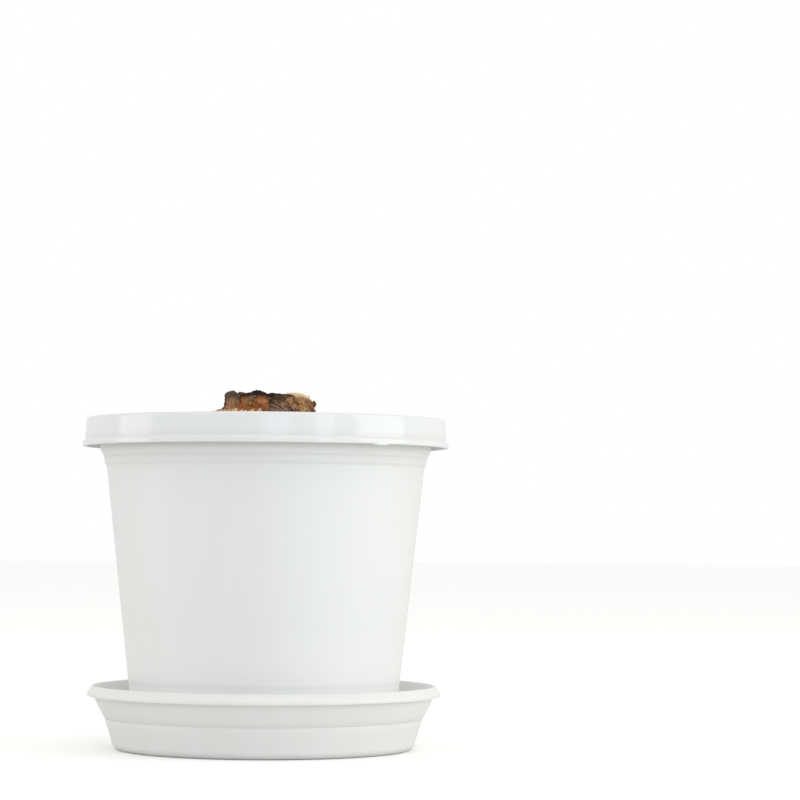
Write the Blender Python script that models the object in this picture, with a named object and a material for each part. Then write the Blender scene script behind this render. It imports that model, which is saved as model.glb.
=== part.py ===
"""A dormant amaryllis bulb planted in a white plastic pot that stands on its saucer.

Metres, +Z up. The origin lies on the table, on the axis that the pot and the saucer share.
The front of the pot faces -Y.
"""

import math
import random

import bmesh
import bpy
from mathutils import Euler, Vector, noise

# Pieces that touch keep this gap.
GAP = 0.0003
# Sides of every turned shape. A multiple of four keeps the widths along X and Y true.
SIDES = 48
# Small roundings at the ends of walls, and half the height of the fine steps moulded in them.
EDGE = 0.0006
FINE_STEP = 0.0004

# Pot
POT_HEIGHT = 0.1350
BEAD_RADIUS = 0.0750
BEAD_HEIGHT = 0.0030
BEAD_DEPTH = 0.0008
COLLAR_TOP_RADIUS = 0.0736
COLLAR_DEPTH = 0.0116
COLLAR_ROUND = 0.0012
INNER_LIP_RADIUS = 0.0673
INNER_LIP_ROUND = 0.0018
WALL = 0.0012
BODY_TOP_RADIUS = 0.0652
BODY_TOP_HEIGHT = 0.1158
STACKING_RING_RADIUS = 0.0660
STACKING_RING_HEIGHT = 0.0031
NECK_RADIUS = 0.0677
NECK_HEIGHT = 0.1218
BODY_LOW_RADIUS = 0.0557
FOOT_STEP_HEIGHT = 0.0290
FOOT_RADIUS = 0.0553
FOOT_RING_WIDTH = 0.0016
FOOT_RING_HEIGHT = 0.0020
POT_SEAT = 0.0037
POT_FLOOR = 0.0014
POT_FLOOR_ROUND = 0.0024
DRAIN_HOLE_RADIUS = 0.0025
DRAIN_HOLE_SIDES = 10
# Rings of drain holes: radius of the ring and number of holes.
DRAIN_HOLE_RINGS = ((0.0, 1), (0.022, 4), (0.040, 8))

# Saucer
SAUCER_HEIGHT = 0.0260
SAUCER_RIM_RADIUS = 0.0722
SAUCER_RIM_DROP = 0.0037
SAUCER_LIP_RADIUS = 0.0698
SAUCER_WALL = 0.0013
SAUCER_CORNER = 0.0036
SAUCER_FLOOR_TOP = 0.0027
SAUCER_FOOT_OUTER = 0.0585
SAUCER_FOOT_INNER = 0.0460
SAUCER_HOLLOW = 0.0014
SAUCER_STEP_RADIUS = 0.0649
SAUCER_STEP_HEIGHT = 0.0127
SAUCER_LEDGE_RADIUS = 0.0688
SAUCER_LEDGE_HEIGHT = 0.0198
SUPPORT_RING_INNER = 0.0522
SUPPORT_RING_OUTER = 0.0563

# Bulb. The outline runs from the basal plate up to the cut neck, as height and radius.
BULB_CENTRE = Vector((0.0010, 0.0, 0.0))
BULB_BASE = 0.0463
BULB_OUTLINE = (
    (BULB_BASE, 0.0125),
    (0.0488, 0.0155),
    (0.0513, 0.0190),
    (0.0568, 0.0290),
    (0.0648, 0.0370),
    (0.0748, 0.0415),
    (0.0868, 0.0427),
    (0.0988, 0.0405),
    (0.1098, 0.0352),
    (0.1198, 0.0284),
    (0.1288, 0.0229),
    (0.1378, 0.0184),
    (0.1438, 0.0177),
)
BULB_OVALNESS = 0.015
# One shoulder is fuller: its direction in degrees, its size, and the levels it lies between.
FULL_SHOULDER_TURN = 190
FULL_SHOULDER = 0.0040
FULL_SHOULDER_LOW = 0.1153
FULL_SHOULDER_TOP = 0.1402
BURIED_LEVELS = 7
SHOULDER_LEVELS = 9
RIB_COUNT = 12
RIB_DEPTH = 0.0009
TUNIC_THICKNESS = 0.0007
# The torn upper edge of each papery tunic: mean height, swing of the edge, and its wave count.
TUNIC_EDGES = ((0.1223, 0.0040, 3), (0.1333, 0.0035, 4))
# Height of the neck's ragged rim at turns of the compass, anticlockwise from +X, in degrees.
NECK_RIM = (
    (0, 0.1420),
    (30, 0.1432),
    (65, 0.1426),
    (100, 0.1442),
    (140, 0.1432),
    (170, 0.1440),
    (195, 0.1448),
    (226, 0.1444),
    (252, 0.1458),
    (274, 0.1447),
    (300, 0.1444),
    (330, 0.1434),
)
# The cut scales inside the neck, as a share of its radius, and the drop below the rim.
NECK_SCALES = ((0.90, 0.0000), (0.80, 0.0030), (0.68, 0.0010), (0.56, 0.0036),
               (0.44, 0.0016), (0.32, 0.0040), (0.18, 0.0020))
FLAP_THICKNESS = 0.0008
LOOSE_FLAPS = 10
ROOTS = 15
ROOT_RADIUS = 0.0016
ROOT_LENGTH = 0.024
ROOT_SIDES = 5
ROOT_STEPS = 5

# Growing medium
MEDIUM_LEVEL = 0.1123
MEDIUM_MOUND = 0.0020
CRUMB_HEIGHT = 0.0022
SURFACE_RINGS = 8
ROOT_WELL_RADIUS = 0.0240
ROOT_WELL_FLOOR = 0.0213
BARK_CHIPS = 56
CHIP_SIZE = 0.0062
CHIPS_INNER_RADIUS = 0.0415
CHIPS_OUTER_RADIUS = 0.0575
CHIP_RISE = 0.0006
# The bulb's buried levels end a little below the surface, and its shoulder begins there.
SHOULDER_START = MEDIUM_LEVEL - 0.0040


def clear_scene():
    for old in list(bpy.data.objects):
        bpy.data.objects.remove(old, do_unlink=True)


def plain_material(name, colour, roughness):
    material = bpy.data.materials.new(name)
    material.use_nodes = True
    shader = material.node_tree.nodes["Principled BSDF"]
    shader.inputs["Base Color"].default_value = (*colour, 1.0)
    shader.inputs["Roughness"].default_value = roughness
    shader.inputs["Metallic"].default_value = 0.0
    return material


def place(name, mesh, material=None, collection=None):
    """Puts a mesh into the scene as a smooth-shaded object."""
    if material:
        mesh.materials.append(material)
    thing = bpy.data.objects.new(name, mesh)
    (collection or bpy.context.scene.collection).objects.link(thing)
    mesh.shade_smooth()
    mesh.set_sharp_from_angle(angle=math.radians(35))
    return thing


def corner(radius_at, height_at, size, start, end, steps):
    """Points along a round corner of a profile. Angles are in degrees, 0 towards +r, 90 up."""
    points = []
    for step in range(steps + 1):
        turn = math.radians(start + (end - start) * step / steps)
        points.append((radius_at + size * math.cos(turn), height_at + size * math.sin(turn)))
    return points


def turned(name, profile, material):
    """Spins a profile of (radius, height) points about the Z axis."""
    mesh = bpy.data.meshes.new(name)
    points = [(radius, 0.0, height) for radius, height in profile]
    edges = [(index, index + 1) for index in range(len(points) - 1)]
    mesh.from_pydata(points, edges, [])
    thing = place(name, mesh, material)
    screw = thing.modifiers.new("Turn", "SCREW")
    screw.axis = "Z"
    screw.angle = math.tau
    screw.steps = SIDES
    screw.render_steps = SIDES
    screw.use_merge_vertices = True
    screw.merge_threshold = 0.00001
    return thing


def along(points, where):
    """Reads a smooth curve through (place, value) points, flat in slope at both ends."""
    last = len(points) - 1
    if where <= points[0][0]:
        return points[0][1]
    if where >= points[last][0]:
        return points[last][1]
    index = max(i for i in range(last) if points[i][0] <= where)
    (start, low), (end, high) = points[index], points[index + 1]
    before = points[max(index - 1, 0)]
    after = points[min(index + 2, last)]
    slope_in = (high - before[1]) / (end - before[0])
    slope_out = (after[1] - low) / (after[0] - start)
    span = end - start
    share = (where - start) / span
    square, cube = share * share, share ** 3
    return (
        (2 * cube - 3 * square + 1) * low
        + (cube - 2 * square + share) * slope_in * span
        + (3 * square - 2 * cube) * high
        + (cube - square) * slope_out * span
    )


def smooth_step(value):
    value = min(max(value, 0.0), 1.0)
    return value * value * (3 - 2 * value)


def pot_outer_radius(height):
    """The tapered body's outer radius between the foot and the stacking ring."""
    share = (height - FOOT_STEP_HEIGHT) / (BODY_TOP_HEIGHT - FOOT_STEP_HEIGHT)
    return BODY_LOW_RADIUS + (BODY_TOP_RADIUS - BODY_LOW_RADIUS) * share


def pot_inner_radius(height):
    if height < FOOT_STEP_HEIGHT:
        return FOOT_RADIUS - WALL
    return pot_outer_radius(height) - WALL


def pot_profile():
    """From the floor's middle up the inside, over the collar and down the outside."""
    floor_under = POT_SEAT + FOOT_RING_HEIGHT
    floor_top = floor_under + POT_FLOOR
    inside_foot = FOOT_RADIUS - WALL
    ring_top = BODY_TOP_HEIGHT + STACKING_RING_HEIGHT
    collar_low = POT_HEIGHT - COLLAR_DEPTH
    bead_top = collar_low + BEAD_HEIGHT
    bead_foot = BEAD_RADIUS - BEAD_DEPTH
    under_rim = POT_HEIGHT - WALL
    return [
        (0.0, floor_top),
        *corner(inside_foot - POT_FLOOR_ROUND, floor_top + POT_FLOOR_ROUND,
                POT_FLOOR_ROUND, -90, 0, 2),
        (inside_foot, FOOT_STEP_HEIGHT - FINE_STEP),
        (pot_inner_radius(FOOT_STEP_HEIGHT), FOOT_STEP_HEIGHT + FINE_STEP),
        (BODY_TOP_RADIUS - WALL, BODY_TOP_HEIGHT),
        (STACKING_RING_RADIUS - WALL, ring_top),
        (NECK_RADIUS - WALL, NECK_HEIGHT + FINE_STEP),
        *corner(INNER_LIP_RADIUS + INNER_LIP_ROUND, POT_HEIGHT - INNER_LIP_ROUND,
                INNER_LIP_ROUND, 180, 90, 3),
        *corner(COLLAR_TOP_RADIUS - COLLAR_ROUND, POT_HEIGHT - COLLAR_ROUND,
                COLLAR_ROUND, 90, 5, 3),
        (bead_foot, bead_top),
        *corner(bead_foot, bead_top - BEAD_DEPTH, BEAD_DEPTH, 45, 0, 1),
        *corner(BEAD_RADIUS - EDGE, collar_low + EDGE, EDGE, 0, -90, 1),
        (BEAD_RADIUS - WALL - FINE_STEP, collar_low),
        (bead_foot - WALL, bead_top),
        (COLLAR_TOP_RADIUS - WALL, under_rim - EDGE),
        (COLLAR_TOP_RADIUS - WALL - EDGE, under_rim),
        (INNER_LIP_RADIUS + WALL + EDGE, under_rim),
        (INNER_LIP_RADIUS + WALL, under_rim - EDGE),
        (NECK_RADIUS, NECK_HEIGHT),
        (STACKING_RING_RADIUS + FINE_STEP, ring_top),
        (STACKING_RING_RADIUS, BODY_TOP_HEIGHT + FINE_STEP),
        (BODY_TOP_RADIUS, BODY_TOP_HEIGHT),
        (pot_outer_radius(FOOT_STEP_HEIGHT), FOOT_STEP_HEIGHT),
        (FOOT_RADIUS, FOOT_STEP_HEIGHT - FINE_STEP),
        (FOOT_RADIUS, POT_SEAT + EDGE),
        (FOOT_RADIUS - EDGE, POT_SEAT),
        (FOOT_RADIUS - FOOT_RING_WIDTH, POT_SEAT),
        (FOOT_RADIUS - FOOT_RING_WIDTH, floor_under),
        (0.0, floor_under),
    ]


def drain_cutters():
    """One wire-drawn object of round pegs, which the pot's floor is pierced by."""
    pegs = bmesh.new()
    for ring_radius, count in DRAIN_HOLE_RINGS:
        for index in range(count):
            turn = math.tau * index / count
            made = bmesh.ops.create_cone(
                pegs, cap_ends=True, segments=DRAIN_HOLE_SIDES,
                radius1=DRAIN_HOLE_RADIUS, radius2=DRAIN_HOLE_RADIUS, depth=8 * POT_FLOOR)
            place_at = Vector((ring_radius * math.cos(turn), ring_radius * math.sin(turn),
                               POT_SEAT + FOOT_RING_HEIGHT))
            bmesh.ops.translate(pegs, verts=made["verts"], vec=place_at)
    mesh = bpy.data.meshes.new("drain_cutters")
    pegs.to_mesh(mesh)
    pegs.free()
    cutters = place("drain_cutters", mesh)
    cutters.hide_render = True
    cutters.display_type = "WIRE"
    return cutters


def make_pot():
    pot = turned("pot", pot_profile(), plain_material("pot_plastic", (0.86, 0.87, 0.88), 0.32))
    holes = pot.modifiers.new("Drain holes", "BOOLEAN")
    holes.operation = "DIFFERENCE"
    holes.object = drain_cutters()


def saucer_profile():
    """From the floor's middle up the inside, over the turned-down rim and down the outside."""
    ring_top = POT_SEAT - GAP
    inner_corner = SAUCER_CORNER - SAUCER_WALL
    rim_edge = SAUCER_HEIGHT - SAUCER_RIM_DROP
    return [
        (0.0, SAUCER_FLOOR_TOP),
        (SUPPORT_RING_INNER - EDGE, SAUCER_FLOOR_TOP),
        (SUPPORT_RING_INNER, ring_top),
        (SUPPORT_RING_OUTER, ring_top),
        (SUPPORT_RING_OUTER + EDGE, SAUCER_FLOOR_TOP),
        *corner(SAUCER_FOOT_OUTER, SAUCER_FLOOR_TOP + inner_corner, inner_corner, -90, 0, 2),
        (SAUCER_STEP_RADIUS - SAUCER_WALL, SAUCER_STEP_HEIGHT + FINE_STEP),
        (SAUCER_LEDGE_RADIUS - SAUCER_WALL, SAUCER_LEDGE_HEIGHT),
        *corner(SAUCER_LIP_RADIUS, SAUCER_HEIGHT - 1.5 * EDGE, 1.5 * EDGE, 165, 50, 3),
        *corner(SAUCER_RIM_RADIUS - EDGE, rim_edge, EDGE, 45, -60, 2),
        (SAUCER_LIP_RADIUS + EDGE, rim_edge + SAUCER_WALL),
        (SAUCER_LIP_RADIUS - FINE_STEP, rim_edge + SAUCER_WALL - FINE_STEP),
        (SAUCER_LEDGE_RADIUS, SAUCER_LEDGE_HEIGHT),
        (SAUCER_STEP_RADIUS + FINE_STEP, SAUCER_STEP_HEIGHT + FINE_STEP),
        (SAUCER_STEP_RADIUS, SAUCER_STEP_HEIGHT - FINE_STEP),
        *corner(SAUCER_FOOT_OUTER, SAUCER_CORNER, SAUCER_CORNER, 0, -90, 3),
        (SAUCER_FOOT_INNER, 0.0),
        (SAUCER_FOOT_INNER - SAUCER_HOLLOW, SAUCER_HOLLOW),
        (0.0, SAUCER_HOLLOW),
    ]


def make_saucer():
    turned("saucer", saucer_profile(), plain_material("saucer_plastic", (0.86, 0.87, 0.88), 0.30))


def bulb_radius(height, turn):
    """The bulb's slightly oval outline, which its skin never stands out of below the shoulder."""
    oval = 1 + BULB_OVALNESS * math.cos(2 * turn + 0.7)
    facing = max(0.0, math.cos(turn - math.radians(FULL_SHOULDER_TURN))) ** 1.5
    rise = smooth_step((FULL_SHOULDER_TOP - height) / 0.0040)
    rise *= smooth_step((height - FULL_SHOULDER_LOW) / 0.0120)
    return along(BULB_OUTLINE, height) * oval + FULL_SHOULDER * facing * rise


def neck_rim_height(turn):
    """The ragged height of the cut neck, once round."""
    first, last = NECK_RIM[0], NECK_RIM[-1]
    closed = ((last[0] - 360, last[1]), *NECK_RIM, (first[0] + 360, first[1]))
    return along(closed, math.degrees(turn) % 360)


def skin_relief(height, turn):
    """Ribs that run from the base to the neck, pressed into the skin and never raised from it."""
    drift = 2.2 * noise.noise(Vector((math.cos(turn), math.sin(turn), height * 30)))
    ribs = 0.5 + 0.5 * math.cos(RIB_COUNT * turn + drift)
    spot = Vector((2.5 * math.cos(turn), 2.5 * math.sin(turn), height * 60))
    dents = 0.5 + 0.5 * noise.noise(spot)
    fade = smooth_step((height - BULB_BASE) / 0.010)
    return -RIB_DEPTH * fade * (0.75 * ribs + 0.6 * dents)


def tunic_step(height, turn):
    """Thickness that the torn papery tunics add below their ragged upper edges."""
    added = 0.0
    for mean, swing, waves in TUNIC_EDGES:
        tear = math.sin(waves * turn + mean * 900) + 0.5 * math.sin((2 * waves + 3) * turn)
        edge = mean + swing * tear
        added += TUNIC_THICKNESS * smooth_step((edge - height) / 0.0012 + 0.5)
    above_medium = smooth_step((height - MEDIUM_LEVEL - 0.0045) / 0.004)
    return added * above_medium


def buried_heights():
    """Levels of the bulb from above its basal plate to just below the medium's surface."""
    low = BULB_OUTLINE[2][0]
    rise = (SHOULDER_START - low) / (BURIED_LEVELS - 1)
    return [low + rise * step for step in range(BURIED_LEVELS)]


def ring_of_points(mesh, at_turn):
    """A ring of vertices, each placed by a function of its turn about the Z axis."""
    return [mesh.verts.new(at_turn(math.tau * side / SIDES)) for side in range(SIDES)]


def skin_rings(mesh, rings):
    """Joins each ring to the next with two triangles a side, the first ring lowest outside."""
    for lower, upper in zip(rings, rings[1:]):
        for side in range(SIDES):
            after = (side + 1) % SIDES
            mesh.faces.new((lower[side], lower[after], upper[after]))
            mesh.faces.new((lower[side], upper[after], upper[side]))


def close_ring(mesh, ring, centre, upwards):
    """Fills a ring with a fan of triangles round a middle vertex."""
    middle = mesh.verts.new(centre)
    for side in range(SIDES):
        pair = (ring[side], ring[(side + 1) % SIDES])
        mesh.faces.new((*pair, middle) if upwards else (*reversed(pair), middle))


def on_bulb(radius, height, turn):
    return BULB_CENTRE + Vector((radius * math.cos(turn), radius * math.sin(turn), height))


def bulb_body():
    """The globe, its basal plate and the neck, with the cut scales inside the neck."""
    mesh = bmesh.new()

    def skin(height):
        return lambda turn: on_bulb(
            bulb_radius(height, turn) + skin_relief(height, turn) + tunic_step(height, turn),
            height, turn)

    def shoulder(share):
        def point(turn):
            height = SHOULDER_START + (neck_rim_height(turn) - SHOULDER_START) * share
            return skin(height)(turn)
        return point

    def scale(radius_share, drop):
        def point(turn):
            height = neck_rim_height(turn)
            tear = 0.0009 * noise.noise(on_bulb(radius_share, radius_share * 9, turn) * 2.5)
            level = height + (BULB_OUTLINE[-1][0] - height) * (1 - radius_share)
            return on_bulb(bulb_radius(height, turn) * radius_share, level - drop + tear, turn)
        return point

    rings = [ring_of_points(mesh, skin(height)) for height, _ in BULB_OUTLINE[:2]]
    rings += [ring_of_points(mesh, skin(height)) for height in buried_heights()]
    for step in range(1, SHOULDER_LEVELS + 1):
        rings.append(ring_of_points(mesh, shoulder(step / SHOULDER_LEVELS)))
    rings += [ring_of_points(mesh, scale(*each)) for each in NECK_SCALES]
    skin_rings(mesh, rings)
    close_ring(mesh, rings[0], BULB_CENTRE + Vector((0, 0, BULB_BASE)), upwards=False)
    top = BULB_OUTLINE[-1][0] - 0.0036
    close_ring(mesh, rings[-1], BULB_CENTRE + Vector((0, 0, top)), upwards=True)
    body = bpy.data.meshes.new("bulb")
    mesh.to_mesh(body)
    mesh.free()
    return body


def tube(name, points, radii, sides, collection):
    """A closed, tapered tube along a row of points."""
    mesh = bmesh.new()
    rings = []
    for index, point in enumerate(points):
        ahead = points[min(index + 1, len(points) - 1)] - points[max(index - 1, 0)]
        across = ahead.orthogonal().normalized()
        beside = ahead.cross(across).normalized()
        turns = [math.tau * side / sides for side in range(sides)]
        rings.append([mesh.verts.new(point + radii[index] * (across * math.cos(turn)
                                                             + beside * math.sin(turn)))
                      for turn in turns])
    for lower, upper in zip(rings, rings[1:]):
        for side in range(sides):
            after = (side + 1) % sides
            mesh.faces.new((lower[side], lower[after], upper[after]))
            mesh.faces.new((lower[side], upper[after], upper[side]))
    mesh.faces.new(reversed(rings[0]))
    mesh.faces.new(rings[-1])
    shape = bpy.data.meshes.new(name)
    mesh.to_mesh(shape)
    mesh.free()
    return place(name, shape, collection=collection)


def add_roots(collection):
    """Dried roots that hang from the rim of the basal plate, inside the root well."""
    draw = random.Random(11)
    for index in range(ROOTS):
        turn = math.tau * (index + draw.uniform(-0.25, 0.25)) / ROOTS
        start = draw.uniform(0.0065, 0.0105)
        spread = draw.uniform(0.0060, 0.0100)
        length = ROOT_LENGTH * draw.uniform(0.7, 1.0)
        sway = draw.uniform(-0.5, 0.5)
        points = []
        for step in range(ROOT_STEPS):
            share = step / (ROOT_STEPS - 1)
            radius = start + spread * math.sin(share * math.pi * 0.5)
            bend = turn + sway * share + 0.12 * math.sin(5 * share + index)
            points.append(on_bulb(radius, BULB_BASE + 0.0025 - length * share, bend))
        radii = [ROOT_RADIUS * (1.0 - 0.55 * step / (ROOT_STEPS - 1)) for step in range(ROOT_STEPS)]
        tube(f"root_{index}", points, radii, ROOT_SIDES, collection)


def add_flap(name, collection, turn, low, high, width, stand_off, lean, curl):
    """A torn strip of dry tunic whose foot is sunk into the bulb and whose tip stands free."""
    columns, rows = 3, 4
    mesh = bmesh.new()
    grid = []
    for row in range(rows + 1):
        share = row / rows
        height = low + (high - low) * share
        line = []
        for column in range(columns + 1):
            side = column / columns - 0.5
            narrowing = 1 - 0.55 * share ** 2
            tear = 0.18 * math.sin(9 * side + 5 * share + 20 * turn) * share
            rise = (high - low) * tear * (1 - abs(side))
            radius = bulb_radius(min(height, BULB_OUTLINE[-1][0]), turn) + stand_off
            radius += lean * share ** 2 + curl * side * side * share
            about = turn + width * side * narrowing / radius
            line.append(mesh.verts.new(on_bulb(radius, height + rise, about)))
        grid.append(line)
    for row in range(rows):
        for column in range(columns):
            a, b = grid[row][column], grid[row][column + 1]
            c, d = grid[row + 1][column + 1], grid[row + 1][column]
            mesh.faces.new((a, b, c))
            mesh.faces.new((a, c, d))
    shape = bpy.data.meshes.new(name)
    mesh.to_mesh(shape)
    mesh.free()
    flap = place(name, shape, collection=collection)
    thicken = flap.modifiers.new("Thickness", "SOLIDIFY")
    thicken.thickness = FLAP_THICKNESS
    thicken.offset = 0.0


def add_flaps(collection):
    """The strips that show over the rim from the front, and loose ones round the shoulder."""
    shown = (
        # turn, low, high, width, stand-off, lean, curl
        (203, 0.1358, 0.1460, 0.0130, -0.0003, 0.0003, 0.0020),
        (252, 0.1368, 0.1462, 0.0130, -0.0003, -0.0006, 0.0010),
        (318, 0.1353, 0.1448, 0.0190, -0.0002, 0.0006, 0.0010),
        (353, 0.1373, 0.1421, 0.0040, -0.0003, 0.0022, 0.0000),
        (200, 0.1288, 0.1388, 0.0100, -0.0003, 0.0050, 0.0012),
        (222, 0.1288, 0.1386, 0.0110, -0.0003, 0.0034, 0.0012),
        (246, 0.1283, 0.1385, 0.0100, -0.0003, 0.0022, 0.0010),
        (268, 0.1278, 0.1382, 0.0080, -0.0003, 0.0016, 0.0010),
    )
    for index, (turn, *rest) in enumerate(shown):
        add_flap(f"shown_flap_{index}", collection, math.radians(turn), *rest)
    draw = random.Random(5)
    for index in range(LOOSE_FLAPS):
        turn = math.tau * (index + draw.uniform(-0.3, 0.3)) / LOOSE_FLAPS
        low = draw.uniform(0.1213, 0.1298)
        high = low + draw.uniform(0.0070, 0.0110)
        width = draw.uniform(0.0070, 0.0120)
        lean = draw.uniform(0.0030, 0.0060)
        curl = draw.uniform(0.0005, 0.0020)
        add_flap(f"loose_flap_{index}", collection, turn, low, high, width, -0.0002, lean, curl)


def keep_largest_shell(mesh):
    """Drops loose scraps, and fills hollows that a union has sealed, by leaving out their skins."""
    shape = bmesh.new()
    shape.from_mesh(mesh)
    unseen = set(shape.verts)
    shells = []
    while unseen:
        shell = {unseen.pop()}
        front = list(shell)
        while front:
            vertex = front.pop()
            near = {edge.other_vert(vertex) for edge in vertex.link_edges} - shell
            shell |= near
            front.extend(near)
        unseen -= shell
        shells.append(shell)
    shells.sort(key=len)
    for shell in shells[:-1]:
        bmesh.ops.delete(shape, geom=list(shell), context="VERTS")
    shape.to_mesh(mesh)
    shape.free()


def fuse(thing, collection):
    """Joins a collection's solids to an object and removes the collection."""
    union = thing.modifiers.new("Union", "BOOLEAN")
    union.operation = "UNION"
    union.operand_type = "COLLECTION"
    union.collection = collection
    union.solver = "MANIFOLD"
    bpy.context.view_layer.update()
    view = bpy.context.evaluated_depsgraph_get()
    joined = bpy.data.meshes.new_from_object(thing.evaluated_get(view))
    keep_largest_shell(joined)
    thing.modifiers.clear()
    thing.data = joined
    for extra in list(collection.objects):
        bpy.data.objects.remove(extra, do_unlink=True)
    bpy.data.collections.remove(collection)


def new_collection(name):
    collection = bpy.data.collections.new(name)
    bpy.context.scene.collection.children.link(collection)
    return collection


def make_bulb():
    bulb = place("bulb", bulb_body(), plain_material("bulb_skin", (0.36, 0.20, 0.10), 0.75))
    extras = new_collection("bulb_extras")
    add_roots(extras)
    add_flaps(extras)
    fuse(bulb, extras)


def surface_height(x, y):
    """The crumbly top of the growing medium: a low mound round the bulb, with lumps."""
    radius = math.hypot(x, y)
    mound = MEDIUM_MOUND * smooth_step((0.058 - radius) / 0.020)
    lumps = noise.fractal(Vector((x * 130, y * 130, 3.7)), 0.9, 2.0, 3)
    crumbs = noise.cell(Vector((x * 260, y * 260, 1.3)))
    return MEDIUM_LEVEL - 0.0015 + mound + CRUMB_HEIGHT * (0.8 * lumps + 0.5 * crumbs - 0.25)


def medium_body():
    """The filling of the pot, with the plain hole that the bulb and its roots stand in."""
    mesh = bmesh.new()
    floor = POT_SEAT + FOOT_RING_HEIGHT + POT_FLOOR + GAP
    foot_radius = FOOT_RADIUS - WALL - GAP
    side_top = MEDIUM_LEVEL - 0.0060

    def side(radius, height):
        return lambda turn: Vector((radius * math.cos(turn), radius * math.sin(turn), height))

    def top(share):
        def point(turn):
            outer = Vector((math.cos(turn), math.sin(turn), 0)) * (pot_inner_radius(side_top) - GAP)
            mouth_height = MEDIUM_LEVEL + MEDIUM_MOUND * (0.4 + 0.3 * math.sin(5 * turn))
            mouth = on_bulb(bulb_radius(mouth_height, turn) + GAP, mouth_height, turn)
            spot = outer.lerp(mouth, share)
            near_bulb = smooth_step(share * 3 - 2)
            spot.z = surface_height(spot.x, spot.y) * (1 - near_bulb) + mouth_height * near_bulb
            return spot
        return point

    def hole(height):
        def point(turn):
            return on_bulb(max(bulb_radius(height, turn) + GAP, ROOT_WELL_RADIUS), height, turn)
        return point

    rings = [
        ring_of_points(mesh, side(foot_radius - POT_FLOOR_ROUND, floor)),
        ring_of_points(mesh, side(foot_radius, floor + POT_FLOOR_ROUND)),
        ring_of_points(mesh, side(foot_radius, FOOT_STEP_HEIGHT + 0.0004)),
        ring_of_points(mesh, side(pot_inner_radius(side_top) - GAP, side_top)),
    ]
    rings += [ring_of_points(mesh, top(step / SURFACE_RINGS)) for step in range(SURFACE_RINGS + 1)]
    rings += [ring_of_points(mesh, hole(height)) for height in reversed(buried_heights())]
    rings += [
        ring_of_points(mesh, lambda turn: on_bulb(ROOT_WELL_RADIUS, ROOT_WELL_FLOOR + 0.004, turn)),
        ring_of_points(mesh, lambda turn: on_bulb(ROOT_WELL_RADIUS - 0.004, ROOT_WELL_FLOOR, turn)),
    ]
    skin_rings(mesh, rings)
    close_ring(mesh, rings[0], Vector((0, 0, floor)), upwards=False)
    close_ring(mesh, rings[-1], BULB_CENTRE + Vector((0, 0, ROOT_WELL_FLOOR)), upwards=True)
    body = bpy.data.meshes.new("growing_medium")
    mesh.to_mesh(body)
    mesh.free()
    return body


def add_chips(collection):
    """Angular bark chips, half sunk in the surface and clear of the bulb and the pot."""
    draw = random.Random(23)
    for index in range(BARK_CHIPS):
        turn = math.tau * (index * 0.618034 % 1.0)
        radius = CHIPS_INNER_RADIUS + (CHIPS_OUTER_RADIUS - CHIPS_INNER_RADIUS) * draw.random()
        chip = bmesh.new()
        bmesh.ops.create_cube(chip, size=CHIP_SIZE)
        stretch = Vector((draw.uniform(0.8, 1.5), draw.uniform(0.5, 1.0), draw.uniform(0.4, 0.9)))
        twist = Euler((draw.uniform(-0.5, 0.5), draw.uniform(-0.5, 0.5), draw.uniform(0, math.tau)))
        x, y = radius * math.cos(turn), radius * math.sin(turn)
        seat = Vector((x, y, surface_height(x, y) + CHIP_RISE))
        for vertex in chip.verts:
            vertex.co *= 1 + 0.35 * noise.noise(vertex.co * 400 + Vector((index, 0, 0)))
            vertex.co = twist.to_matrix() @ (vertex.co * stretch) + seat
        shape = bpy.data.meshes.new(f"chip_{index}")
        chip.to_mesh(shape)
        chip.free()
        place(f"chip_{index}", shape, collection=collection)


def make_medium():
    medium = place("growing_medium", medium_body(),
                   plain_material("planting_medium", (0.055, 0.032, 0.020), 0.95))
    chips = new_collection("chips")
    add_chips(chips)
    fuse(medium, chips)


clear_scene()
make_saucer()
make_pot()
make_medium()
make_bulb()
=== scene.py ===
import math
import random

import bmesh
import bpy
import numpy as np
from mathutils import Euler, Matrix, Vector, noise


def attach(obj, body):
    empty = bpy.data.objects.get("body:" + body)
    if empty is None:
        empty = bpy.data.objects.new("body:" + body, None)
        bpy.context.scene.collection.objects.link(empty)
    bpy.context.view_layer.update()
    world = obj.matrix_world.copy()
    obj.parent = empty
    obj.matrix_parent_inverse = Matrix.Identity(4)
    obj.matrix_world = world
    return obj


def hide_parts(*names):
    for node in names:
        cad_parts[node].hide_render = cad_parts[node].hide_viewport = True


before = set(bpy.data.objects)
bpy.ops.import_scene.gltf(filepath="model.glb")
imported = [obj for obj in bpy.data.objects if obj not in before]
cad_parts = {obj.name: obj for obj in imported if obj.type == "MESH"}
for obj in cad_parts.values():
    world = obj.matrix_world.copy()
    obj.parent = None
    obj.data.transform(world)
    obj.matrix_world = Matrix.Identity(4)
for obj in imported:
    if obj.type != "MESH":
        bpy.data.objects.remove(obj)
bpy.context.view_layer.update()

# The looks of a potted, dormant amaryllis bulb, in metres, +Z up, with the front facing -Y.
# The sizes are the solids' own, read at a finer step, but for a collar 0.2 mm deeper.

GAP = 0.0003
RING_STEPS = 288
TURNS = [math.tau * index / RING_STEPS for index in range(RING_STEPS)]
LONGEST_STEP = 0.0030
SHARP_ANGLE = math.radians(50)

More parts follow.
